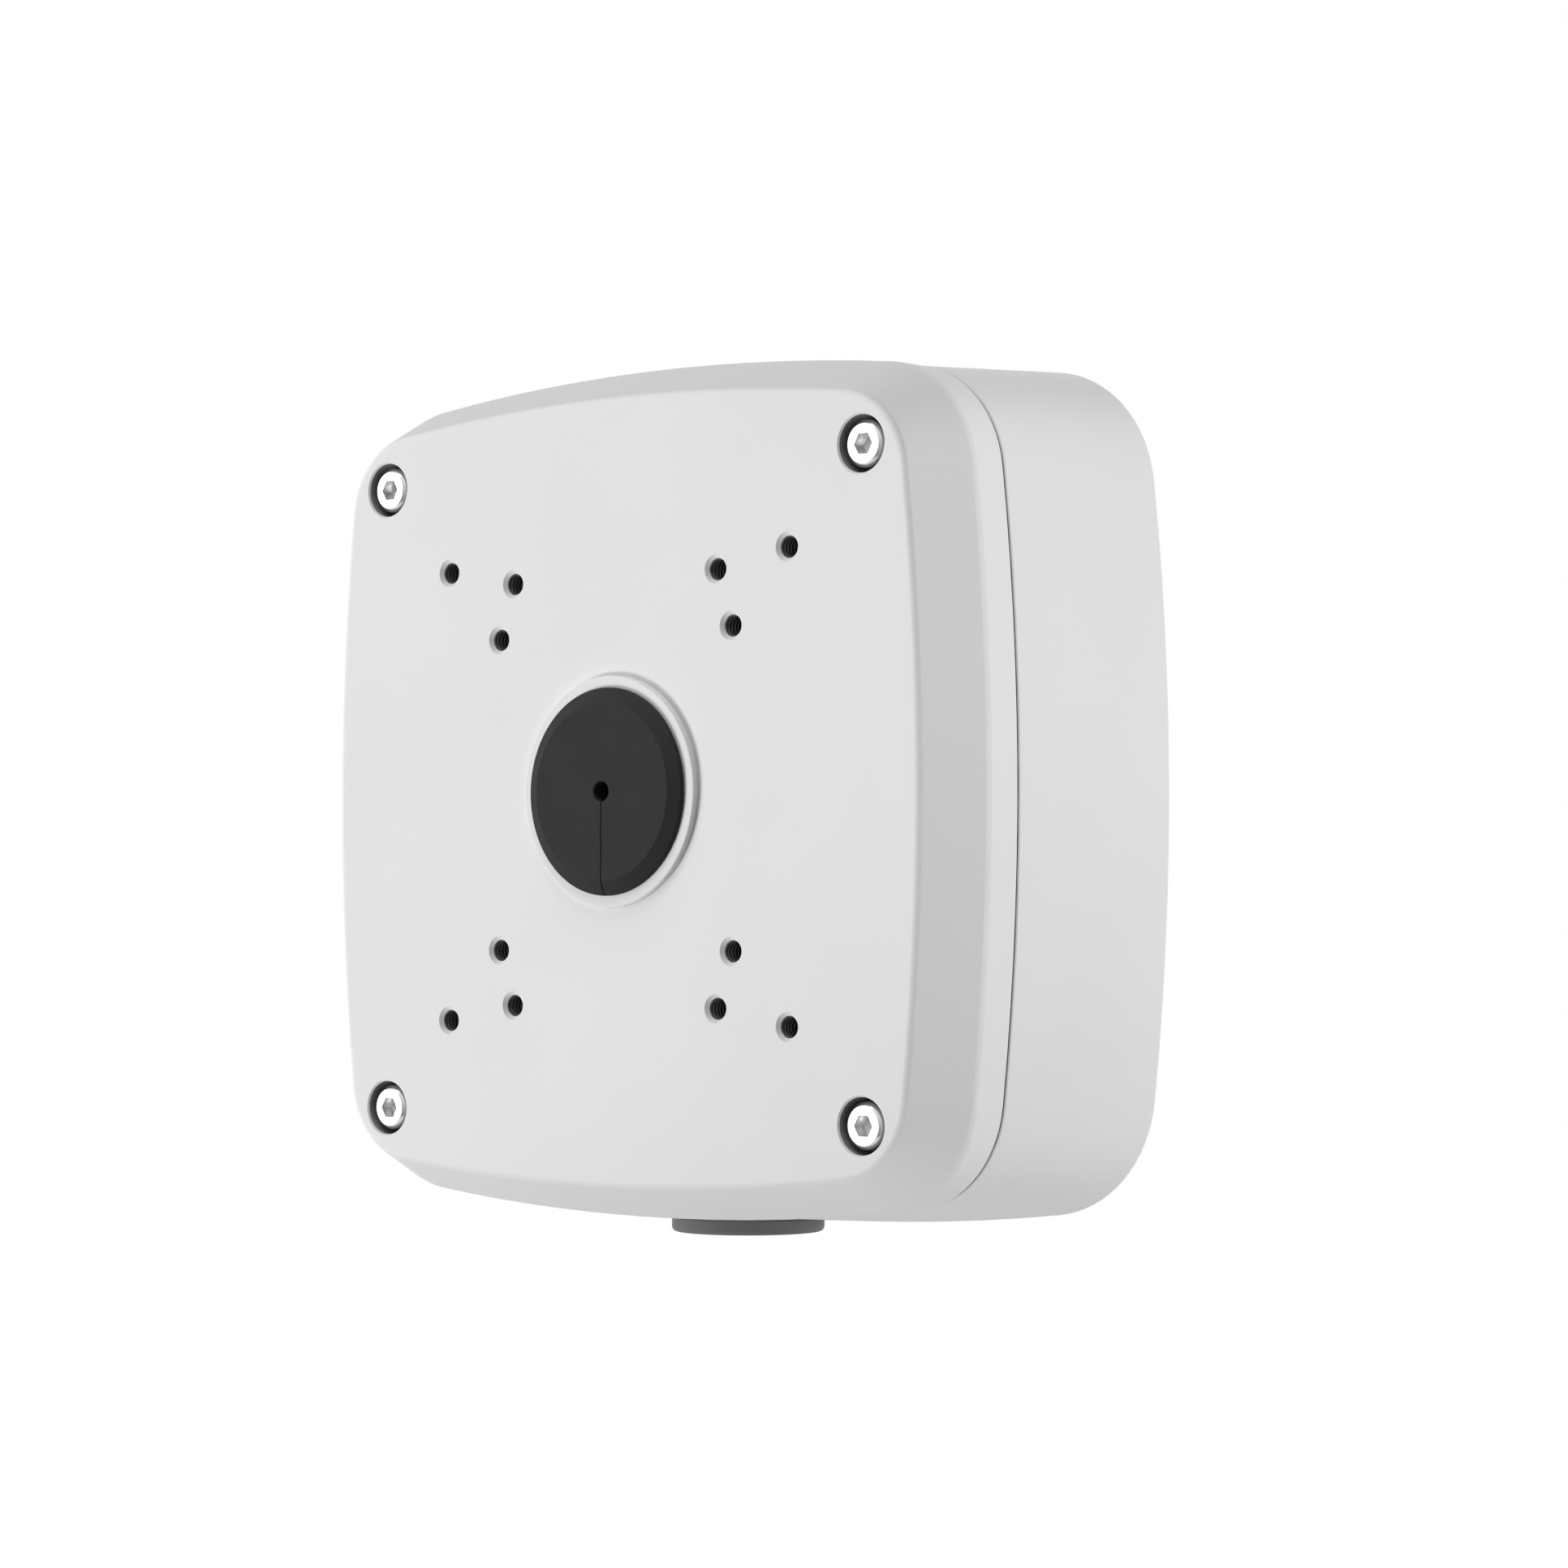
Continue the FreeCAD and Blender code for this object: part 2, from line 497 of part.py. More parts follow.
def make_earth_screw():
    """Slotted screw that holds the earth wire."""
    under_head = EARTH_TOP - EARTH_WASHER_THICK
    head_top = under_head - EARTH_HEAD_HEIGHT
    head = rod(0, EARTH_Z, EARTH_HEAD_RADIUS, under_head, head_top)
    head = rounded(head, circles_at(head, head_top, 1, EARTH_HEAD_RADIUS), EARTH_HEAD_ROUND)
    shank = rod(0, EARTH_Z, EARTH_SCREW_RADIUS, EARTH_TOP + EARTH_SCREW_LENGTH, under_head)
    slot = Part.makeBox(2 * EARTH_HEAD_RADIUS + 2, EARTH_SLOT_DEPTH + 1, EARTH_SLOT_WIDTH,
                        Vec(-EARTH_HEAD_RADIUS - 1, head_top - 1,
                            EARTH_Z - EARTH_SLOT_WIDTH / 2))
    return head.fuse(shank).cut(slot)


def all_parts():
    """Every piece of the box, by name."""
    parts = {
        "base_shell": make_base(),
        "cover": make_cover(),
        "cover_gasket": make_gasket(),
        "cable_grommet": make_grommet(),
        "outlet_plug": make_outlet_plug(),
        "outlet_seal": make_outlet_seal(),
        "rear_entry_plug": make_rear_plug(),
        "earth_washer": make_earth_washer(),
        "earth_screw": make_earth_screw(),
    }
    for number, (sx, sz) in enumerate(CORNERS, 1):
        parts[f"cover_screw_{number}"] = make_cover_screw(sx * SCREW_AT, sz * SCREW_AT)
        parts[f"screw_seal_{number}"] = make_screw_seal(sx * SCREW_AT, sz * SCREW_AT)
        parts[f"wall_seal_{number}"] = make_wall_seal(sx * WALL_HOLE_AT, sz * WALL_HOLE_AT)
    return parts


def main():
    """Writes one file for each piece."""
    os.makedirs("parts", exist_ok=True)
    for name, shape in all_parts().items():
        solid = shape.Solids[0] if len(shape.Solids) == 1 else shape
        solid.exportStep(f"parts/{name}.step")
        print(name, len(shape.Solids), "solid", round(solid.Volume / 1000, 3), "cm3",
              "valid" if solid.isValid() else "NOT VALID")


main()
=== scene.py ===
import logging
import math
from dataclasses import dataclass
from enum import Enum
from typing import Callable, Iterator, Sequence

import bpy
from bpy.types import Material, Node, NodeSocket, Object, World
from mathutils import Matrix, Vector


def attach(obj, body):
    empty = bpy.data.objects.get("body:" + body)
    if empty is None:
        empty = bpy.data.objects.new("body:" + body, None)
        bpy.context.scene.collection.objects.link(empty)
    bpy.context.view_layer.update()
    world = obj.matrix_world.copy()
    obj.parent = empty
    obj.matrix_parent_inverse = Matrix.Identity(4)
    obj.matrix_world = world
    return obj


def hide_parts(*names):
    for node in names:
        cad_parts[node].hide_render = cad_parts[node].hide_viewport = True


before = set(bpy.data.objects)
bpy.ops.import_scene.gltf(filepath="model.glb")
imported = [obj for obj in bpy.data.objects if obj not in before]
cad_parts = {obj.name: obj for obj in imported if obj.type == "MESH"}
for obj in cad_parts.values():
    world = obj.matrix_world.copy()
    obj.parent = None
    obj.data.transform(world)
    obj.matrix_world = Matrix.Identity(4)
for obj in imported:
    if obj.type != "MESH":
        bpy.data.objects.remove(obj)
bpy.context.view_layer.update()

logging.basicConfig(level=logging.INFO, format="%(levelname)s %(message)s")
LOG = logging.getLogger("junction_box")

MM = 0.001

Colour = tuple[float, float, float]
Triple = tuple[float, float, float]
Pairs = Sequence[tuple[float, float]]

# Places that more than one class needs. The wall is at y = 0. An axis is x and z.
# The camera holes are one corner's, in mm, and the other corners mirror them.
CORNERS = ((1, 1), (1, -1), (-1, -1), (-1, 1))
PLATE_FRONT = -50.7 * MM
SCREW_TOP = -50.2 * MM
SCREW_AT = 48.9 * MM
SCREW_AXES = tuple((sx * SCREW_AT, sz * SCREW_AT) for sx, sz in CORNERS)
CAMERA_HOLES = ((34.93, 34.93), (20.97, 32.44), (23.97, 23.97))
CAMERA_AXES = tuple((sx * x * MM, sz * z * MM) for sx, sz in CORNERS for x, z in CAMERA_HOLES)
CAMERA_SINK = 0.55 * MM
OUTLET_SEAT = (0, -19.7 * MM, -65.0 * MM)

# Scale of a wave texture with one ring in every metre.
WAVE_SCALE = math.tau / 20


class Body(Enum):
    """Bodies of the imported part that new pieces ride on."""

    BASE = "base"
    COVER = "cover"
    OUTLET_PLUG = "outlet_plug"


class Slot(Enum):
    """Material slots of the record, one for each kind of new piece."""

    CASTING = "painted_casting"
    PLUG = "painted_plug"
    GROMMET = "grommet_rubber"
    SCREW = "screw_steel"


class Facing(Enum):
    """Which way the local +Z of a turned piece points on the box."""

    FRONT = (math.pi / 2, 0.0, 0.0)
    DOWN = (math.pi, 0.0, 0.0)


class NodeBoard:
    """The node tree of a material or world, with short ways to add and join nodes."""

    def __init__(self, owner: Material | World, output: str = "OutputMaterial") -> None:
        """Empties the owner's tree and gives it an output node.

        Args:
            owner: the material or world.
            output: the output node's type, without its ShaderNode prefix.
        """
        self.owner = owner
        owner.use_nodes = True
        self.tree = owner.node_tree
        self.tree.nodes.clear()
        self.output = self.node(output)

    @classmethod
    def named(cls, name: str) -> "NodeBoard":
        """Starts a new material of this name."""
        return cls(bpy.data.materials.new(name))

    def node(self, kind: str, **values: object) -> Node:
        """Adds a node and sets its inputs or properties.

        Args:
            kind: the node's type, without its ShaderNode prefix.
            values: properties, or inputs by name with _ for a space, whose value is a
                constant or the socket to join.

        Returns:
            The new node.
        """
        made = self.tree.nodes.new("ShaderNode" + kind)
        for key, value in values.items():
            if hasattr(made, key):
                setattr(made, key, value)
            elif isinstance(value, NodeSocket):
                self.join(value, made.inputs[key.replace("_", " ")])
            else:
                made.inputs[key.replace("_", " ")].default_value = value
        return made

    def join(self, source: NodeSocket, target: NodeSocket) -> None:
        """Links an output to an input."""
        self.tree.links.new(source, target)

    def place(self, centre: Triple = (0, 0, 0)) -> NodeSocket:
        """Object coordinates measured from a centre.

        Args:
            centre: the point of the box that becomes the pattern's middle.

        Returns:
            The vector socket.
        """
        coords = self.node("TexCoord")
        shift = self.node("Mapping", Vector=coords.outputs["Object"],
                          Location=[-c for c in centre])
        return shift.outputs["Vector"]

    def noise(self, vector: NodeSocket, size: float, detail: float = 3.0,
              rough: float = 0.5) -> NodeSocket:
        """A noise pattern whose blobs are about one size.

        Args:
            vector: where the pattern is read.
            size: the blobs' size in metres.
            detail: octaves of finer pattern.
            rough: how strong the finer pattern is.

        Returns:
            The pattern's value socket, about 0.5 in the middle.
        """
        made = self.node("TexNoise", Vector=vector, Scale=1.0 / size, Detail=detail,
                         Roughness=rough)
        return made.outputs["Fac"]

    def remap(self, value: NodeSocket, low: float, high: float,
              start: float = 0.3, end: float = 0.7) -> NodeSocket:
        """Stretches a pattern's usual span to a new one.

        Args:
            value: the pattern.
            low: result at the start.
            high: result at the end.
            start: pattern value that gives low.
            end: pattern value that gives high.

        Returns:
            The new value socket.
        """
        made = self.node("MapRange", Value=value, From_Min=start, From_Max=end,
                         To_Min=low, To_Max=high)
        return made.outputs["Result"]

    def tint(self, factor: NodeSocket, first: Sequence[float],
             second: Sequence[float]) -> NodeSocket:
        """Mixes two colours by a pattern.

        Args:
            factor: 0 gives the first colour and 1 the second.
            first: colour as three linear numbers.
            second: colour as three linear numbers.

        Returns:
            The colour socket.
        """
        made = self.node("Mix", data_type="RGBA")
        colour_inputs = [s for s in made.inputs if s.type == "RGBA"]
        colour_inputs[0].default_value = (*first, 1)
        colour_inputs[1].default_value = (*second, 1)
        self.join(factor, made.inputs["Factor"])
        return [s for s in made.outputs if s.type == "RGBA"][0]

    def bump(self, height: NodeSocket, depth: float,
             under: NodeSocket | None = None) -> NodeSocket:
        """Turns a height pattern into a bumped normal.

        Args:
            height: the pattern.
            depth: metres from its lowest to its highest point.
            under: a bumped normal that this one lies on.

        Returns:
            The normal socket.
        """
        made = self.node("Bump", Height=height, Strength=1.0, Distance=depth)
        if under is not None:
            self.join(under, made.inputs["Normal"])
        return made.outputs["Normal"]

    def shader(self, **values: object) -> Node:
        """Adds the surface shader and joins it to the output.

        Args:
            values: inputs, as for any node.

        Returns:
            The shader node.
        """
        made = self.node("BsdfPrincipled", **values)
        self.join(made.outputs["BSDF"], self.output.inputs["Surface"])
        return made


@dataclass(frozen=True)
class PowderCoat:
    """Matt baked powder paint: fine orange peel over very slow changes of tone."""

    name: str
    colour: Colour
    roughness: float = 0.55
    rough_spread: float = 0.05
    gloss: float = 0.17
    peel_size: float = 0.55 * MM
    peel_depth: float = 0.004 * MM
    grain_size: float = 0.12 * MM
    grain_share: float = 0.35
    tone_size: float = 34 * MM
    tone_change: float = 0.012

    def material(self) -> Material:
        """Builds the paint.

        Returns:
            The material.
        """
        board = NodeBoard.named(self.name)
        where = board.place()
        tone = board.remap(board.noise(where, self.tone_size, detail=2), 0, 1)
        pale = [c * (1 + self.tone_change) for c in self.colour]
        deep = [c * (1 - self.tone_change) for c in self.colour]
        grain = board.noise(where, self.grain_size, detail=2)
        fine = board.bump(grain, self.peel_depth * self.grain_share)
        peel = board.noise(where, self.peel_size, detail=1.5)
        board.shader(Specular_IOR_Level=self.gloss, Base_Color=board.tint(tone, deep, pale),
                     Roughness=board.remap(grain, self.roughness - self.rough_spread,
                                           self.roughness + self.rough_spread),
                     Normal=board.bump(peel, self.peel_depth, fine))
        return board.owner


@dataclass(frozen=True)
class MouldedRubber:
    """Matt rubber from a spark-eroded mould: fine grain under a faint uneven bloom."""

    name: str
    colour: Colour
    roughness: float = 0.62
    rough_spread: float = 0.07
    grain_size: float = 0.16 * MM
    grain_depth: float = 0.009 * MM
    bloom: float = 0.2
    bloom_size: float = 9 * MM
    specular: float = 0.2

    def material(self) -> Material:
        """Builds the rubber.

        Returns:
            The material.
        """
        board = NodeBoard.named(self.name)
        where = board.place()
        slow = board.remap(board.noise(where, self.bloom_size, detail=4, rough=0.6), 0, 1)
        pale = [c * (1 + self.bloom) for c in self.colour]
        grain = board.noise(where, self.grain_size, detail=3, rough=0.6)
        board.shader(Specular_IOR_Level=self.specular,
                     Base_Color=board.tint(slow, self.colour, pale),
                     Roughness=board.remap(grain, self.roughness - self.rough_spread,
                                           self.roughness + self.rough_spread),
                     Normal=board.bump(grain, self.grain_depth))
        return board.owner


@dataclass(frozen=True)
class TurnedMetal:
    """Metal with fine turning rings round the Y axis, and faint smudges."""

    name: str
    colour: Colour
    centre: Triple
    roughness: float = 0.2
    ring_pitch: float = 0.09 * MM
    ring_depth: float = 0.0008 * MM
    smudge_size: float = 1.6 * MM
    smudge_dark: float = 0.05
    smudge_dull: float = 0.05
    clean_shine: float = 0.03

    def material(self) -> Material:
        """Builds the metal.

        Returns:
            The material.
        """
        board = NodeBoard.named(self.name)
        where = board.place(self.centre)
        smudge = board.remap(board.noise(where, self.smudge_size, detail=4, rough=0.6), 0, 1)
        deep = [c * (1 - self.smudge_dark) for c in self.colour]
        rings = board.node("TexWave", wave_type="RINGS", rings_direction="Y",
                           wave_profile="SIN", Vector=where,
                           Scale=WAVE_SCALE / self.ring_pitch, Distortion=0.6, Detail=2.0,
                           Detail_Scale=3.0)
        board.shader(Metallic=1.0, Base_Color=board.tint(smudge, deep, self.colour),
                     Roughness=board.remap(smudge, self.roughness + self.smudge_dull,
                                           self.roughness - self.clean_shine, 0, 1),
                     Normal=board.bump(rings.outputs["Fac"], self.ring_depth))
        return board.owner


@dataclass(frozen=True)
class PlatedSteel:
    """Zinc plated steel: crystalline cloudiness with a faint warm and blue shift."""

    name: str
    warm: Colour = (0.70, 0.66, 0.52)
    cool: Colour = (0.62, 0.65, 0.68)
    cloud_size: float = 2.2 * MM
    grain_size: float = 0.25 * MM
    grain_depth: float = 0.004 * MM
    roughness: tuple[float, float] = (0.26, 0.42)

    def material(self) -> Material:
        """Builds the plating.

        Returns:
            The material.
        """
        board = NodeBoard.named(self.name)
        where = board.place()
        cloud = board.remap(board.noise(where, self.cloud_size, detail=5, rough=0.6), 0, 1)
        fine = board.noise(where, self.grain_size, detail=3)
        board.shader(Metallic=1.0, Base_Color=board.tint(cloud, self.warm, self.cool),
                     Roughness=board.remap(fine, *self.roughness),
                     Normal=board.bump(fine, self.grain_depth))
        return board.owner


@dataclass(frozen=True)
class CutCasting:
    """Bare die-cast metal where a tool has cut it: dull, with dark pores."""

    name: str
    colour: Colour
    roughness: float = 0.5
    metallic: float = 0.6
    specular: float = 0.2
    pore_size: float = 0.3 * MM
    pore_depth: float = 0.02 * MM
    pore_shade: float = 0.6
    pore_dull: float = 0.15
    cut_shine: float = 0.08

    def material(self) -> Material:
        """Builds the cut metal.

        Returns:
            The material.
        """
        board = NodeBoard.named(self.name)
        where = board.place()
        pores = board.noise(where, self.pore_size, detail=5, rough=0.7)
        dark = [c * self.pore_shade for c in self.colour]
        board.shader(Metallic=self.metallic, Specular_IOR_Level=self.specular,
                     Base_Color=board.tint(board.remap(pores, 0, 1), dark, self.colour),
                     Roughness=board.remap(pores, self.roughness + self.pore_dull,
                                           self.roughness - self.cut_shine),
                     Normal=board.bump(pores, self.pore_depth))
        return board.owner


class Bench:
    """Model shop: each job selects what it works on and then calls the operators."""

    @staticmethod
    def clear() -> None:
        """Leaves edit mode and deselects everything."""
        if bpy.context.mode != "OBJECT":
            bpy.ops.object.mode_set(mode="OBJECT")
        bpy.ops.object.select_all(action="DESELECT")

    @staticmethod
    def pick(piece: Object) -> None:
        """Makes one object the only selected and active one.

        Args:
            piece: the object.
        """
        Bench.clear()
        piece.select_set(True)
        bpy.context.view_layer.objects.active = piece

    @staticmethod
    def profile_walk(steps: Pairs) -> None:
        """Extrudes the selected ring through a list of radii and heights.

        Args:
            steps: radius and height of each ring; the first is where the selection is.
        """
        for before, after in zip(steps, steps[1:]):
            bpy.ops.mesh.extrude_region_move(
                TRANSFORM_OT_translate={"value": (0, 0, after[1] - before[1])})
            grow = after[0] / before[0]
            bpy.ops.transform.resize(value=(grow, grow, 1), center_override=(0, 0, after[1]))

    @staticmethod
    def turned(name: str, steps: Pairs, segments: int) -> Object:
        """A solid turned about Z, closed by a flat face at both ends.

        Args:
            name: the object's name.
            steps: radius and height of each ring, from one end face to the other.
            segments: corners in a full turn.

        Returns:
            The new object.
        """
        Bench.clear()
        bpy.ops.mesh.primitive_circle_add(vertices=segments, radius=steps[0][0],
                                          fill_type="NGON")
        piece = bpy.context.object
        piece.name = piece.data.name = name
        bpy.ops.object.mode_set(mode="EDIT")
        bpy.ops.mesh.select_all(action="SELECT")
        bpy.ops.transform.translate(value=(0, 0, steps[0][1]))
        Bench.profile_walk(steps)
        bpy.ops.mesh.select_all(action="SELECT")
        bpy.ops.mesh.normals_make_consistent(inside=False)
        bpy.ops.object.mode_set(mode="OBJECT")
        return piece

    @staticmethod
    def hexagon(flats: float, depth: float, height: float = 0.0) -> Object:
        """The tool that cuts a hexagon socket.

        Args:
            flats: size across the flats.
            depth: how deep the socket goes.
            height: height of the face that it goes into.

        Returns:
            A six-sided bar about Z, half of it over the face.
        """
        Bench.clear()
        bpy.ops.mesh.primitive_cylinder_add(
            vertices=6, radius=flats / math.sqrt(3), depth=2 * depth,
            location=(0, 0, height), rotation=(0, 0, math.pi / 6))
        return bpy.context.object

    @staticmethod
    def use_modifier(piece: Object, kind: str, **values: object) -> None:
        """Adds a modifier, sets it and applies it.

        Args:
            piece: the object.
            kind: the modifier's type.
            values: its properties.
        """
        Bench.pick(piece)
        bpy.ops.object.modifier_add(type=kind)
        tool = piece.modifiers[-1]
        for key, value in values.items():
            setattr(tool, key, value)
        bpy.ops.object.modifier_apply(modifier=tool.name)

    @staticmethod
    def combine(piece: Object, other: Object, how: str) -> None:
        """Cuts, adds or trims with another solid, which is used up.

        Args:
            piece: the solid that stays.
            other: the tool.
            how: DIFFERENCE, UNION or INTERSECT.
        """
        Bench.use_modifier(piece, "BOOLEAN", operation=how, object=other, solver="EXACT")
        bpy.data.objects.remove(other, do_unlink=True)

    @staticmethod
    def tidy(piece: Object, merge: float = 0.002 * MM) -> None:
        """Merges doubled points and turns the faces outwards.

        Args:
            piece: the object.
            merge: points closer than this become one.
        """
        Bench.pick(piece)
        bpy.ops.object.mode_set(mode="EDIT")
        bpy.ops.mesh.select_all(action="SELECT")
        bpy.ops.mesh.remove_doubles(threshold=merge)
        bpy.ops.mesh.normals_make_consistent(inside=False)
        bpy.ops.object.mode_set(mode="OBJECT")

    @staticmethod
    def soften(piece: Object, angle: float) -> None:
        """Smooth shading with hard edges above an angle in degrees."""
        Bench.pick(piece)
        bpy.ops.object.shade_smooth_by_angle(angle=math.radians(angle))

    @staticmethod
    def settle(piece: Object, facing: Facing, spot: Triple) -> None:
        """Turns and moves a finished piece and puts its place into the mesh.

        Args:
            piece: the object, made about the local Z axis.
            facing: where local +Z goes.
            spot: where the local origin goes, in metres.
        """
        Bench.pick(piece)
        piece.rotation_euler = facing.value
        piece.location = spot
        bpy.ops.object.transform_apply(location=True, rotation=True, scale=True)

    @staticmethod
    def copy(piece: Object, name: str) -> Object:
        """A copy with its own mesh.

        Args:
            piece: the object to copy.
            name: the copy's name.

        Returns:
            The copy.
        """
        Bench.pick(piece)
        bpy.ops.object.duplicate(linked=False)
        made = bpy.context.object
        made.name = made.data.name = name
        return made

    @staticmethod
    def helix(name: str, profile: Pairs, pitch: float, turns: int, start: float,
              segments: int) -> Object:
        """An open thread surface: one pitch of profile, screwed round Z.

        Args:
            name: the object's name.
            profile: radius and height of each corner along one pitch.
            pitch: rise of one turn.
            turns: how many turns.
            start: height of the first corner.
            segments: corners in a full turn.

        Returns:
            The new object.
        """
        Bench.clear()
        bpy.ops.mesh.primitive_plane_add(size=pitch)
        piece = bpy.context.object
        piece.name = piece.data.name = name
        bpy.ops.object.mode_set(mode="EDIT")
        bpy.ops.mesh.select_all(action="SELECT")
        bpy.ops.mesh.merge(type="CENTER")
        bpy.ops.transform.translate(value=(profile[0][0], 0, start + profile[0][1]))
        for before, after in zip(profile, profile[1:]):
            bpy.ops.mesh.extrude_region_move(TRANSFORM_OT_translate={
                "value": (after[0] - before[0], 0, after[1] - before[1])})
        bpy.ops.object.mode_set(mode="OBJECT")
        Bench.use_modifier(piece, "SCREW", axis="Z", angle=math.tau, screw_offset=pitch,
                           iterations=turns, steps=segments, render_steps=segments,
                           use_normal_calculate=True)
        Bench.tidy(piece)
        return piece

    @staticmethod
    def trim(piece: Object, low: float, high: float, fill: bool) -> None:
        """Cuts a piece off square at two heights.

        Args:
            piece: the object, still about the local Z axis.
            low: what lies under this height goes.
            high: what lies over this height goes.
            fill: whether the cuts are closed with a face.
        """
        Bench.pick(piece)
        bpy.ops.object.mode_set(mode="EDIT")
        for height, over in ((low, False), (high, True)):
            bpy.ops.mesh.select_all(action="SELECT")
            bpy.ops.mesh.bisect(plane_co=(0, 0, height), plane_no=(0, 0, 1), use_fill=fill,
                                clear_inner=not over, clear_outer=over, threshold=1e-7)
        bpy.ops.object.mode_set(mode="OBJECT")


@dataclass(frozen=True)
class Thread:
    """A metric thread, cut on a rod or standing in a hole as ridges.

    Its crest is an eighth of the pitch wide, and the root of a rod's a quarter.
    """

    major: float
    pitch: float
    segments: int
    form_depth: float = 0.5413
    play: float = 0.06
    least_ridge: float = 0.2
    root_gap: float = 0.01 * MM
    ridge_wall: float = 0.12 * MM

    @property
    def height(self) -> float:
        """Depth of the thread form of an outside thread."""
        return self.form_depth * self.pitch

    def surface(self, name: str, profile: Pairs, low: float, high: float) -> Object:
        """The open thread surface, at least a turn longer than asked at both ends.

        Args:
            name: the object's name.
            profile: radius and height of each corner along one pitch.
            low: lower end.
            high: upper end.

        Returns:
            The new object, with a first corner wherever the height is a whole pitch.
        """
        first = math.floor(low / self.pitch) - 1
        turns = math.ceil(high / self.pitch) + 1 - first
        return Bench.helix(name, profile, self.pitch, turns, first * self.pitch,
                           self.segments)

    def rod(self, name: str, low: float, high: float) -> Object:
        """A closed threaded rod about Z.

        Args:
            name: the object's name.
            low: lower end.
            high: upper end.

        Returns:
            The new object.
        """
        top, root, step = self.major, self.major - self.height, self.pitch / 16
        profile = [(top, 0), (top, step), (root, 6 * step), (root, 10 * step),
                   (top, 15 * step), (top, self.pitch)]
        piece = self.surface(name, profile, low, high)
        Bench.trim(piece, low, high, True)
        Bench.tidy(piece)
        return piece

    def sleeve(self, name: str, bore: float, low: float, high: float) -> Object:
        """The ridges of a tapped hole, which mesh with a rod of the same thread.

        Args:
            name: the object's name.
            bore: radius of the hole that the ridges stand in.
            low: lower end.
            high: upper end.

        Returns:
            The new object.
        """
        pitch, root = self.pitch, bore - self.root_gap
        crest = min(self.major - self.height + self.play * pitch,
                    bore - self.least_ridge * pitch)
        middle, step = pitch / 2, pitch / 16
        rise = (root - crest) * math.tan(math.radians(30))
        profile = [(root, 0), (root, middle - step - rise), (crest, middle - step),
                   (crest, middle + step), (root, middle + step + rise), (root, pitch)]
        piece = self.surface(name, profile, low, high)
        Bench.trim(piece, low, high, False)
        Bench.use_modifier(piece, "SOLIDIFY", thickness=self.ridge_wall, offset=1.0,
                           use_even_offset=False)
        Bench.tidy(piece)
        return piece


def dress(piece: Object, body: str, slot: Slot, finish: Material,
          replaces: str | None = None) -> None:
    """Gives a new piece its finish and body.

    Args:
        piece: the finished object.
        body: name of the body that it rides on.
        slot: the record's material slot; not used.
        finish: its material.
        replaces: the CAD node that it stands for.
    """
    piece.data.materials.clear()
    piece.data.materials.append(finish)
    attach(piece, body)
    if replaces:
        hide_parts(replaces)
    LOG.info("%s: %d faces on %s", piece.name, len(piece.data.polygons), body)


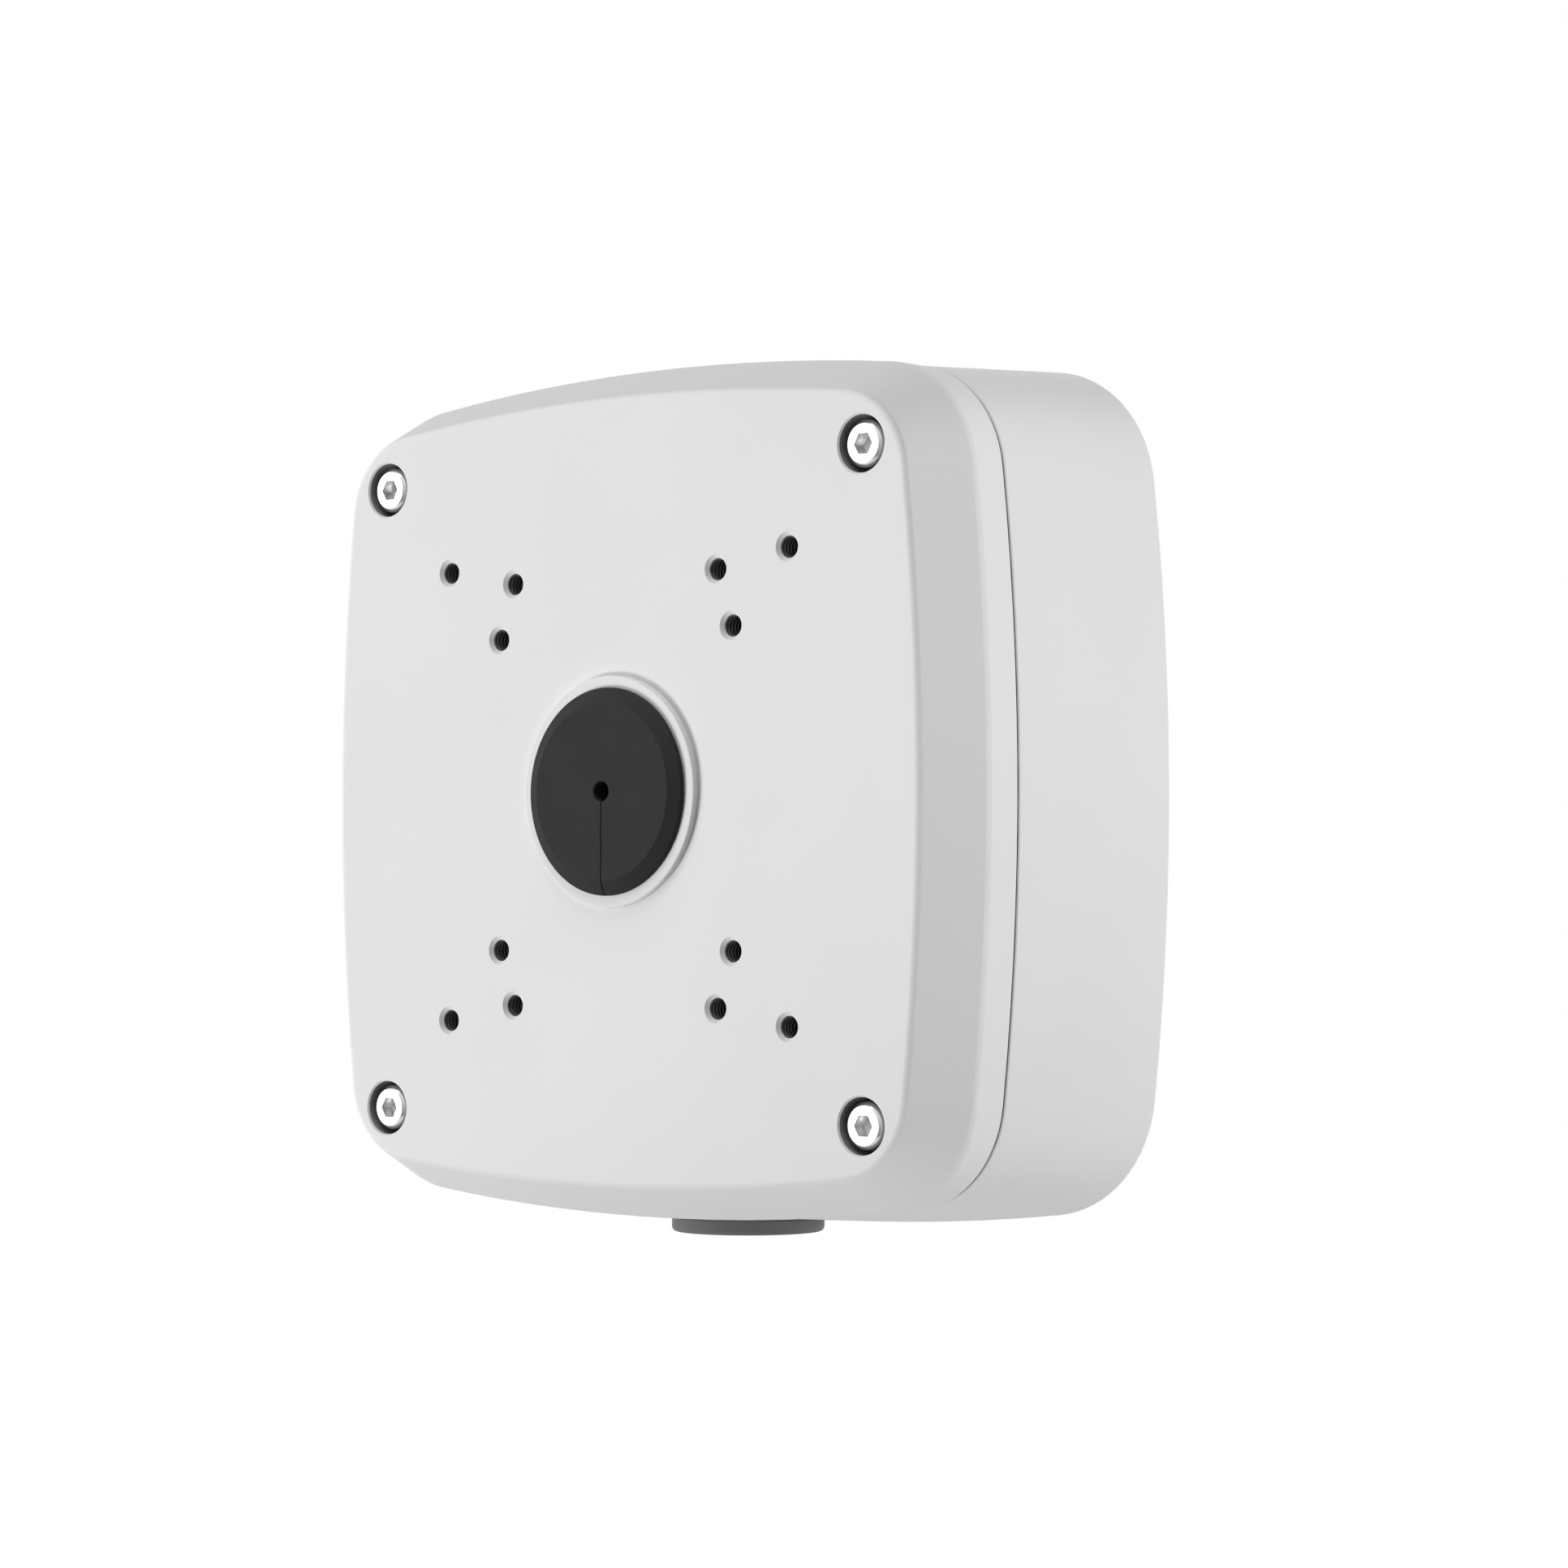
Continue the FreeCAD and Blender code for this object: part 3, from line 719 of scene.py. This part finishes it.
@dataclass
class CoverScrews:
    """The four captive socket head screws."""

    head_radius: float = 3.5 * MM
    head_height: float = 4.0 * MM
    head_edge: float = 0.6 * MM
    under_edge: float = 0.12 * MM
    outer_corner: Pairs = ((0, -0.02), (-0.03, 0.05))
    inner_corner: Pairs = ((0.04, -0.03), (-0.02, 0), (-0.08, 0))
    flats: float = 3.0 * MM
    socket_depth: float = 2.2 * MM
    drill_gap: float = 0.02 * MM
    drill_start: float = 0.3 * MM
    drill_tip: float = 0.02 * MM
    length: float = 20.0 * MM
    tip: float = 0.6 * MM
    neck: float = 1.2 * MM
    runout: float = 0.3 * MM
    crest_gap: float = 0.01 * MM
    root_gap: float = 0.02 * MM
    into_head: float = 0.2 * MM
    stock: tuple[float, float] = (0.5 * MM, 0.3 * MM)
    thread: Thread = Thread(2.0 * MM, 0.7 * MM, 32)
    steel_grey: Colour = (0.80, 0.80, 0.80)

    def head(self) -> Object:
        """The head with its bevel, socket and drilled cone.

        The bevel's two corners are rounded in a few steps, given as offsets in mm. The last
        step is a ring on the top face, which keeps that face flat in smooth shading.

        Returns:
            The head about local Z, with its top at height 0.
        """
        r, e, under = self.head_radius, self.head_edge, -self.head_height
        steps = [(self.thread.major, under), (r - self.under_edge, under),
                 (r, under + self.under_edge)]
        steps += [(r + out * MM, -e + up * MM) for out, up in self.outer_corner]
        steps += [(r - e + out * MM, up * MM) for out, up in self.inner_corner]
        head = Bench.turned("cover_screw_head", steps, segments=128)
        Bench.combine(head, Bench.hexagon(self.flats, self.socket_depth), "DIFFERENCE")
        wide = self.flats / 2 - self.drill_gap
        drill = Bench.turned("drill_cone", [
            (wide, -self.socket_depth + self.drill_start), (wide, -self.socket_depth),
            (self.drill_tip, -self.socket_depth - self.flats / 4)], segments=64)
        Bench.combine(head, drill, "DIFFERENCE")
        return head

    def shank(self) -> Object:
        """The threaded shank with a plain neck and a bevelled tip.

        The rod has stock at both ends, which its envelope takes off.

        Returns:
            The shank about local Z.
        """
        under = -self.head_height
        end = under - self.length
        rod = self.thread.rod("cover_screw_shank", end - self.stock[0], under + self.stock[1])
        crest = self.thread.major + self.crest_gap
        root = self.thread.major - self.thread.height + self.root_gap
        envelope = Bench.turned("shank_envelope", [
            (self.thread.major - self.tip, end), (crest, end + self.tip),
            (crest, under - self.neck), (root, under - self.neck + self.runout),
            (root, under + self.into_head)], segments=64)
        Bench.combine(rod, envelope, "INTERSECT")
        return rod

    def build(self) -> None:
        """Makes one screw and sets its copies in the corners, each with its own rings."""
        screw = self.head()
        Bench.combine(screw, self.shank(), "UNION")
        Bench.tidy(screw)
        Bench.soften(screw, angle=34)
        for number, (x, z) in enumerate(SCREW_AXES, 1):
            name = f"cover_screw_{number}"
            spot = (x, SCREW_TOP, z)
            piece = Bench.copy(screw, f"socket_screw_{number}")
            Bench.settle(piece, Facing.FRONT, spot)
            steel = TurnedMetal(f"stainless_{number}", self.steel_grey, spot).material()
            dress(piece, name, Slot.SCREW, steel, replaces=name)
        bpy.data.objects.remove(screw, do_unlink=True)


@dataclass
class OutletPlug:
    """The screwed plug under the bottom wall."""

    gap: float = 0.3 * MM
    head_radius: float = 11.9 * MM
    head_height: float = 2.4 * MM
    head_round: float = 0.75 * MM
    round_steps: int = 6
    head_edge: float = 0.25 * MM
    neck_radius: float = 8.8 * MM
    neck: float = 2.6 * MM
    thread_length: float = 6.0 * MM
    lead_in: float = 1.1 * MM
    runout: float = 0.6 * MM
    crest_gap: float = 0.01 * MM
    end_inset: float = 0.2 * MM
    stub: tuple[float, float] = (0.6 * MM, 0.4 * MM)
    stock: tuple[float, float] = (0.5 * MM, 0.2 * MM)
    flats: float = 8.0 * MM
    socket_depth: float = 5.0 * MM
    thread: Thread = Thread(10.0 * MM, 1.5 * MM, 72)

    def head(self) -> Object:
        """The rounded head and the plain neck, with a stub that goes into the thread.

        Returns:
            The solid about local Z, with the wall at height 0 and the head above it.
        """
        foot, under = self.gap + self.head_height, self.gap
        start = under - self.neck
        r, bend = self.head_radius, self.head_round
        rounding = [(r - bend * (1 - math.sin(a)), foot - bend * (1 - math.cos(a)))
                    for a in (math.radians(90 / self.round_steps * k)
                              for k in range(self.round_steps + 1))]
        outside = [(self.neck_radius - self.stub[0], start - self.stub[1]),
                   (self.neck_radius, start), (self.neck_radius, under),
                   (r - self.head_edge, under), (r, under + self.head_edge)]
        return Bench.turned("outlet_plug_body", outside + rounding[::-1], segments=144)

    def threaded_end(self) -> Object:
        """The thread with its lead-in and runout.

        Returns:
            The solid about local Z.
        """
        start = self.gap - self.neck
        end = start - self.thread_length
        rod = self.thread.rod("outlet_plug_thread", end - self.stock[0], start + self.stock[1])
        crest, root = self.thread.major + self.crest_gap, self.neck_radius
        envelope = Bench.turned("thread_envelope", [
            (root, end), (crest, end + self.lead_in), (crest, start - self.runout),
            (root - self.end_inset, start)], segments=144)
        Bench.combine(rod, envelope, "INTERSECT")
        return rod

    def build(self, paint: Material) -> None:
        """Makes the plug and sets it in the bottom wall.

        Args:
            paint: its finish, a dark grey coat that is partly painted shade.
        """
        plug = self.head()
        Bench.combine(plug, self.threaded_end(), "UNION")
        socket = Bench.hexagon(self.flats, self.socket_depth, self.gap + self.head_height)
        Bench.combine(plug, socket, "DIFFERENCE")
        Bench.tidy(plug)
        Bench.soften(plug, angle=34)
        plug.name = plug.data.name = "outlet_screw_plug"
        Bench.settle(plug, Facing.DOWN, OUTLET_SEAT)
        dress(plug, Body.OUTLET_PLUG.value, Slot.PLUG, paint, replaces="outlet_plug")


@dataclass
class CableGrommet:
    """The rubber disc in the cover's ring, with its cable hole and slit."""

    face: float = 2.5 * MM
    flat: float = 13.5 * MM
    side: float = 15.68 * MM
    edge_round: float = 0.42 * MM
    edge_steps: int = 6
    edge_rise: float = 0.75
    bevel_rise: float = 2.1
    lip_under: float = 1.04 * MM
    lip_edge: float = 0.05 * MM
    flange: float = 15.45 * MM
    seat: float = -0.5 * MM
    neck: float = 12.38 * MM
    snap_start: float = -3.62 * MM
    snap: float = 14.4 * MM
    snap_end: float = 13.2 * MM
    back: float = -6.02 * MM
    hollow: float = 9.78 * MM
    hollow_floor: float = -1.5 * MM
    hole: float = 1.5 * MM
    mouth: Pairs = ((-0.05, -0.2), (0, -0.15), (0.2, 0.05))
    slit: float = 0.2 * MM
    blade_height: float = 20 * MM
    beyond: float = 1 * MM

    def profile(self) -> Pairs:
        """Radius and height of each ring, from the back to the front face.

        The edge is an arc whose centre lies edge_rise radii over the lip's underside. It
        stops at the slope of a line that starts bevel_rise radii over it and ends at the flat.

        Returns:
            The list for a turned solid, with the plate's front at height 0.
        """
        bend = self.edge_round
        slope = math.atan2(self.face - self.lip_under - self.bevel_rise * bend,
                           self.side - self.flat)
        centre = (self.side - bend, self.lip_under + self.edge_rise * bend)
        steps = self.edge_steps
        corner = [(centre[0] + bend * math.cos(a), centre[1] + bend * math.sin(a))
                  for a in ((math.pi / 2 - slope) * k / steps for k in range(steps + 1))]
        return [(self.snap_end, self.back), (self.snap, self.snap_start),
                (self.neck, self.snap_start), (self.neck, self.seat),
                (self.flange, self.seat), (self.flange, self.lip_under),
                (self.side - self.lip_edge, self.lip_under),
                (self.side, self.lip_under + self.lip_edge),
                *corner, (self.flat, self.face)]

    def tools(self) -> Iterator[Object]:
        """The solids that cut the hollow, the cable hole, its mouth and the slit.

        The mouth's rings are offsets in mm from the hole's side and from the face.

        Returns:
            The tools, each made just before it is used.
        """
        behind = self.back - self.beyond
        yield Bench.turned("hollow_tool", [(self.hollow, behind),
                                           (self.hollow, self.hollow_floor)], segments=128)
        yield Bench.turned("hole_tool", [(self.hole, behind),
                                         (self.hole, self.face + self.beyond)], segments=64)
        yield Bench.turned("hole_mouth", [(self.hole + out * MM, self.face + up * MM)
                                          for out, up in self.mouth], segments=64)
        Bench.clear()
        length = self.side + self.beyond
        middle = (0, -length / 2, 0)
        bpy.ops.mesh.primitive_cube_add(size=1, location=middle)
        blade = bpy.context.object
        bpy.ops.transform.resize(value=(self.slit, length, self.blade_height),
                                 center_override=middle)
        yield blade

    def build(self, rubber: Material) -> None:
        """Makes the grommet and sets it in the ring.

        Args:
            rubber: its finish.
        """
        grommet = Bench.turned("round_cable_grommet", self.profile(), segments=192)
        for tool in self.tools():
            Bench.combine(grommet, tool, "DIFFERENCE")
        Bench.tidy(grommet)
        Bench.soften(grommet, angle=14)
        Bench.settle(grommet, Facing.FRONT, (0, PLATE_FRONT, 0))
        dress(grommet, Body.COVER.value, Slot.GROMMET, rubber, replaces="cable_grommet")


@dataclass
class TappedHoles:
    """Thread ridges in the camera holes, in the base's posts and in the outlet."""

    camera_bore: float = 1.65 * MM
    camera_depth: float = 8.0 * MM
    ridge_start: float = 0.1 * MM
    post_bore: float = 2.05 * MM
    post_low: float = -26.2 * MM
    post_high: float = -16.6 * MM
    outlet_bore: float = 10.05 * MM
    outlet_low: float = -9.3 * MM
    outlet_high: float = -2.6 * MM
    fine: Thread = Thread(2.0 * MM, 0.7 * MM, 28)
    wide: Thread = Thread(10.0 * MM, 1.5 * MM, 72)

    def build(self, metal: Material) -> None:
        """Makes one sleeve of each kind and sets its copies.

        Args:
            metal: finish of the cut threads, darkened as painted shade.
        """
        camera = self.fine.sleeve("camera_thread", self.camera_bore,
                                  -self.camera_depth, -CAMERA_SINK - self.ridge_start)
        for number, (x, z) in enumerate(CAMERA_AXES, 1):
            self.place(camera, f"camera_thread_{number:02d}", Body.COVER, metal,
                       Facing.FRONT, (x, PLATE_FRONT, z))
        bpy.data.objects.remove(camera, do_unlink=True)
        post = self.fine.sleeve("post_thread", self.post_bore, self.post_low, self.post_high)
        for number, (x, z) in enumerate(SCREW_AXES, 1):
            self.place(post, f"post_thread_{number}", Body.BASE, metal, Facing.FRONT,
                       (x, SCREW_TOP, z))
        bpy.data.objects.remove(post, do_unlink=True)
        outlet = self.wide.sleeve("outlet_thread", self.outlet_bore, self.outlet_low,
                                  self.outlet_high)
        self.place(outlet, "outlet_thread_ring", Body.BASE, metal, Facing.DOWN, OUTLET_SEAT)
        bpy.data.objects.remove(outlet, do_unlink=True)

    @staticmethod
    def place(pattern: Object, name: str, body: Body, metal: Material, facing: Facing,
              spot: Triple) -> None:
        """Sets one copy of a sleeve in its hole.

        Args:
            pattern: the sleeve to copy.
            name: the copy's name.
            body: body that it rides on.
            metal: its finish.
            facing: where local +Z goes.
            spot: where the local origin goes.
        """
        piece = Bench.copy(pattern, name)
        Bench.soften(piece, angle=40)
        Bench.settle(piece, facing, spot)
        dress(piece, body.value, Slot.CASTING, metal)


@dataclass
class CarriedNodes:
    """The CAD nodes that stay, each with its finish."""

    finishes: dict[str, Material]

    def dress(self) -> None:
        """Puts each on its node."""
        for name, finish in self.finishes.items():
            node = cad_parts[name]
            node.data.materials.clear()
            node.data.materials.append(finish)
            LOG.info("%s: finish %s", name, finish.name)


@dataclass(frozen=True)
class MachinedPlaces:
    """Tests of a face's middle that tell where the castings get a darker finish than the paint:
    bare cut metal, and painted shade in the holes, the screw recesses and the parting gap.
    """

    recess_reach: float = 4.3 * MM
    recess_start: float = 0.2 * MM
    recess_end: float = -45 * MM
    hole_reach: float = 1.7 * MM
    hole_start: float = CAMERA_SINK - 0.05 * MM
    hole_end: float = 10 * MM
    ring_reach: float = 15.7 * MM
    ring_end: float = -49.9 * MM
    lands: tuple[float, float] = (-34.28 * MM, -33.98 * MM)
    land_slack: float = 0.01 * MM
    outlet_reach: float = 10.2 * MM
    outlet_start: float = -50 * MM
    post_reach: float = 2.2 * MM
    post_start: float = -33.8 * MM

    @staticmethod
    def near(spot: Vector, axes: Pairs, reach: float) -> bool:
        """Whether a face's middle lies within reach of one of some axes."""
        return any(math.hypot(spot.x - x, spot.z - z) < reach for x, z in axes)

    def in_recesses(self, spot: Vector) -> bool:
        """Whether a face of the cover lies in a screw recess, which is darkened as painted
        shade.
        """
        deep = PLATE_FRONT + self.recess_start < spot.y < self.recess_end
        return deep and self.near(spot, SCREW_AXES, self.recess_reach)

    def in_cover_cuts(self, spot: Vector) -> bool:
        """Whether a face of the cover lies in a tapped hole or the ring's bore.

        Args:
            spot: the face's middle.

        Returns:
            True for a machined face.
        """
        # Tapped holes and the ring's bore take a dark finish: bare cut metal, made darker as
        # painted shade.
        if self.near(spot, CAMERA_AXES, self.hole_reach):
            return self.hole_start < spot.y - PLATE_FRONT < self.hole_end
        return math.hypot(spot.x, spot.z) < self.ring_reach and spot.y < self.ring_end

    def on_lands(self, spot: Vector) -> bool:
        """Whether a face lies on one of the flat lands that meet at the parting line. Their
        bare metal also darkens the gap as painted shade.
        """
        return min(abs(spot.y - land) for land in self.lands) < self.land_slack

    def in_base_cuts(self, spot: Vector) -> bool:
        """Whether a face of the base lies in a tapped post or in the outlet's thread.

        Args:
            spot: the face's middle.

        Returns:
            True for a machined face.
        """
        if math.hypot(spot.x, spot.y - OUTLET_SEAT[1]) < self.outlet_reach:
            return spot.z < self.outlet_start
        return spot.y > self.post_start and self.near(spot, SCREW_AXES, self.post_reach)


@dataclass
class CutFaces:
    """Faces of one casting, all of one finish: machined faces, and faces darkened as painted
    shade.
    """

    node: str
    finish: Material
    test: Callable[[Vector], bool]

    def mark(self) -> None:
        """Gives every face whose middle passes the test the finish."""
        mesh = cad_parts[self.node].data
        mesh.materials.append(self.finish)
        index = len(mesh.materials) - 1
        count = 0
        for face in mesh.polygons:
            if self.test(face.center):
                face.material_index = index
                count += 1
        LOG.info("%s: %d faces of %s", self.node, count, self.finish.name)


@dataclass(frozen=True)
class Lamp:
    """A square soft lamp: name, place, side, watts, whether metal mirrors it, and aim."""

    name: str
    spot: Triple
    size: float
    power: float
    mirrored: bool = True
    aim: Triple = (0, -0.025, 0)

    def hang(self) -> None:
        """Adds the lamp, turned to the box."""
        Bench.clear()
        bpy.ops.object.light_add(type="AREA", location=self.spot)
        lamp = bpy.context.object
        lamp.name = self.name
        lamp.data.shape = "SQUARE"
        lamp.data.size = self.size
        lamp.data.energy = self.power
        lamp.visible_glossy = self.mirrored
        beam = Vector(self.aim) - Vector(self.spot)
        lamp.rotation_euler = beam.to_track_quat("-Z", "Y").to_euler()


@dataclass
class Studio:
    """Pale floor, white surroundings, soft lamps, a glowing bowl of painted reflection, and the
    camera of the photograph.
    """

    floor_height: float = -0.37
    floor_radius: float = 0.45
    floor_shade: float = 0.9
    floor_fade: tuple[float, float] = (0.16, 0.42)
    floor_bounce: float = 0.12
    sky: tuple[float, float] = (0.14, 0.24)
    sky_span: tuple[float, float] = (-0.6, 0.7)
    # The bowl glows as a painted reflection on metal, dark at the bottom and light at the top.
    bowl_radius: float = 0.9
    bowl_turn: float = math.radians(50)
    bowl_reach: float = math.radians(72)
    bowl_shades: tuple[float, float] = (0.14, 0.90)
    bowl_span: float = 0.8
    sensor: float = 36.0
    lens: float = 96.52
    shift_y: float = 0.05706
    nearest: float = 0.01
    eye: Triple = (0.43508, -0.51169, -0.02105)
    turn: Triple = (math.pi / 2 + 0.0138, 0.0, 0.7156)
    lamps: tuple[Lamp, ...] = (
        Lamp("left_front_lamp", (-2.50, -2.575, 0.70), 2.0, 28.4),
        Lamp("back_right_lamp", (2.60, 2.025, 0.60), 2.0, 25.0),
        Lamp("right_lamp", (3.40, 1.125, 0.60), 2.0, 5.0),
        Lamp("top_lamp", (0.20, -1.175, 3.40), 2.0, 54.4),
        Lamp("low_left_lamp", (-1.70, -2.275, -1.60), 1.2, 79.0, False),
        Lamp("low_right_lamp", (2.50, 0.925, -1.70), 1.2, 68.0, False),
    )

    def floor(self) -> None:
        """A round pale floor that fades into the white of the surroundings at its rim.

        Light that strikes it from the lamps comes back weaker.
        """
        Bench.clear()
        bpy.ops.mesh.primitive_circle_add(vertices=128, radius=self.floor_radius,
                                          fill_type="NGON", location=(0, 0, self.floor_height))
        floor = bpy.context.object
        floor.name = "floor"
        bpy.ops.object.transform_apply(location=True, rotation=True, scale=True)
        board = NodeBoard.named("floor_paint")
        seen = self.seen(board)
        low, high = [self.floor_bounce] * 3, [self.floor_shade] * 3
        pale = board.shader(Roughness=0.9, Specular_IOR_Level=0.1,
                            Base_Color=board.tint(seen, low, high))
        away = board.node("VectorMath", operation="LENGTH")
        board.join(board.place((0, 0, self.floor_height)), away.inputs[0])
        fade = board.node("Math", operation="MULTIPLY")
        board.join(board.remap(away.outputs["Value"], 0, 1, *self.floor_fade), fade.inputs[0])
        board.join(seen, fade.inputs[1])
        white = board.node("Emission", Strength=1.0)
        self.blend(board, fade.outputs[0], pale, white)
        floor.data.materials.append(board.owner)

    @staticmethod
    def seen(board: NodeBoard) -> NodeSocket:
        """1 for rays that show the surroundings: straight, mirrored or through glass.

        Args:
            board: the node tree to add to.

        Returns:
            The value socket.
        """
        path = board.node("LightPath")
        first = board.node("Math", operation="MAXIMUM")
        both = board.node("Math", operation="MAXIMUM")
        board.join(path.outputs["Is Camera Ray"], first.inputs[0])
        board.join(path.outputs["Is Glossy Ray"], first.inputs[1])
        board.join(first.outputs[0], both.inputs[0])
        board.join(path.outputs["Is Transmission Ray"], both.inputs[1])
        return both.outputs[0]

    @staticmethod
    def blend(board: NodeBoard, share: NodeSocket, first: Node, second: Node) -> None:
        """Mixes two shaders and joins the mix to the output.

        Args:
            board: the node tree to add to.
            share: 0 gives the first shader and 1 the second.
            first: a shader node.
            second: a shader node.
        """
        mix = board.node("MixShader")
        board.join(share, mix.inputs[0])
        board.join(first.outputs[0], mix.inputs[1])
        board.join(second.outputs[0], mix.inputs[2])
        board.join(mix.outputs[0], board.output.inputs["Surface"])

    def world(self) -> None:
        """White to the eye, and a soft sky that is brighter above than below."""
        world = bpy.data.worlds.new("studio_air")
        bpy.context.scene.world = world
        board = NodeBoard(world, "OutputWorld")
        coords = board.node("TexCoord")
        split = board.node("SeparateXYZ", Vector=coords.outputs["Generated"])
        dim = board.node("Background", Color=(1, 1, 1, 1),
                         Strength=board.remap(split.outputs["Z"], *self.sky, *self.sky_span))
        white = board.node("Background", Strength=1.0, Color=(1, 1, 1, 1))
        self.blend(board, self.seen(board), dim, white)

    def grey_bowl(self) -> None:
        """A glowing grey bowl round the camera's side that only mirror reflections show: a
        painted reflection, darker towards the bottom.
        """
        Bench.clear()
        axis = Vector((math.sin(self.bowl_turn), -math.cos(self.bowl_turn), 0))
        bpy.ops.mesh.primitive_uv_sphere_add(segments=64, ring_count=32,
                                             radius=self.bowl_radius)
        bowl = bpy.context.object
        bowl.name = "grey_bowl"
        bpy.ops.object.mode_set(mode="EDIT")
        bpy.ops.mesh.select_all(action="SELECT")
        bpy.ops.mesh.bisect(plane_co=axis * self.bowl_radius * math.cos(self.bowl_reach),
                            plane_no=axis, clear_inner=True)
        bpy.ops.object.mode_set(mode="OBJECT")
        board = NodeBoard.named("painted_reflection_bowl_glow")
        split = board.node("SeparateXYZ", Vector=board.place())
        end = self.bowl_span * self.bowl_radius
        dark, light = ([shade] * 3 for shade in self.bowl_shades)
        rise = board.remap(split.outputs["Z"], 0, 1, -end, end)
        # Emission though the bowl is no lamp: the painted reflection.
        glow = board.node("Emission", Color=board.tint(rise, dark, light), Strength=1.0)
        board.join(glow.outputs[0], board.output.inputs["Surface"])
        bowl.data.materials.append(board.owner)
        bowl.visible_camera = bowl.visible_diffuse = bowl.visible_shadow = False
        bowl.visible_transmission = False

    def camera(self) -> None:
        """The camera, solved from the box's outline in the photograph."""
        Bench.clear()
        bpy.ops.object.camera_add(location=self.eye, rotation=self.turn)
        camera = bpy.context.object
        camera.name = "camera"
        camera.data.sensor_width = self.sensor
        camera.data.lens = self.lens
        camera.data.shift_y = self.shift_y
        camera.data.clip_start = self.nearest
        bpy.context.scene.camera = camera

    def build(self) -> None:
        """Sets up what isn't part of the object."""
        bpy.context.scene.view_settings.view_transform = "Standard"
        self.floor()
        self.world()
        for lamp in self.lamps:
            lamp.hang()
        self.grey_bowl()
        self.camera()


def main() -> None:
    """Builds the pieces in order."""
    casting = PowderCoat("light_grey_powder_coat", (0.79, 0.79, 0.79)).material()
    # The plug's coat is dark grey: partly its own colour, partly painted shade for the shade
    # under the box.
    plug_paint_and_shade = PowderCoat("plug_coat_and_shade", (0.16, 0.16, 0.16), peel_depth=0.008 * MM).material()
    grommet = MouldedRubber("black_grommet_rubber", (0.017, 0.017, 0.017)).material()
    rings = MouldedRubber("black_ring_rubber", (0.022, 0.022, 0.022), roughness=0.45).material()
    silicone = MouldedRubber("grey_silicone", (0.30, 0.30, 0.31), roughness=0.5,
                             bloom=0.08).material()
    plated = PlatedSteel("zinc_plate").material()
    # Dark cut metal: bare where tapped, and made darker as painted shade in the holes, the
    # ring's bore and the thread ridges.
    cut = CutCasting("cut_casting_and_painted_shade", (0.20, 0.20, 0.205)).material()
    # Dull dark metal in the screw recesses: painted shade where the recess walls lie in shade.
    recess_painted_shade = CutCasting("recess_shade_casting", (0.36, 0.36, 0.365), metallic=0.3).material()
    # Bare milled metal on the parting lands, darker than the paint so that the parting gap
    # darkens: partly painted shade.
    milled_and_gap_shade = CutCasting("milled_casting_and_gap_shade", (0.52, 0.52, 0.525), roughness=0.42,
                        metallic=0.9).material()

    nodes = {"base_shell": casting, "cover": casting, "cover_gasket": silicone,
             "rear_entry_plug": grommet, "outlet_seal": rings,
             "earth_washer": plated, "earth_screw": plated}
    for number in range(1, len(CORNERS) + 1):
        nodes[f"screw_seal_{number}"] = rings
        nodes[f"wall_seal_{number}"] = rings
    CarriedNodes(nodes).dress()
    places = MachinedPlaces()
    # Darker finishes on the castings: bare cut metal, partly painted shade in holes, recesses
    # and the parting gap.
    CutFaces("cover", cut, places.in_cover_cuts).mark()
    CutFaces("cover", recess_painted_shade, places.in_recesses).mark()
    CutFaces("cover", milled_and_gap_shade, places.on_lands).mark()
    CutFaces("base_shell", cut, places.in_base_cuts).mark()
    CutFaces("base_shell", milled_and_gap_shade, places.on_lands).mark()

    CoverScrews().build()
    CableGrommet().build(grommet)
    OutletPlug().build(plug_paint_and_shade)
    TappedHoles().build(cut)
    Studio().build()


if __name__ == "__main__":
    main()
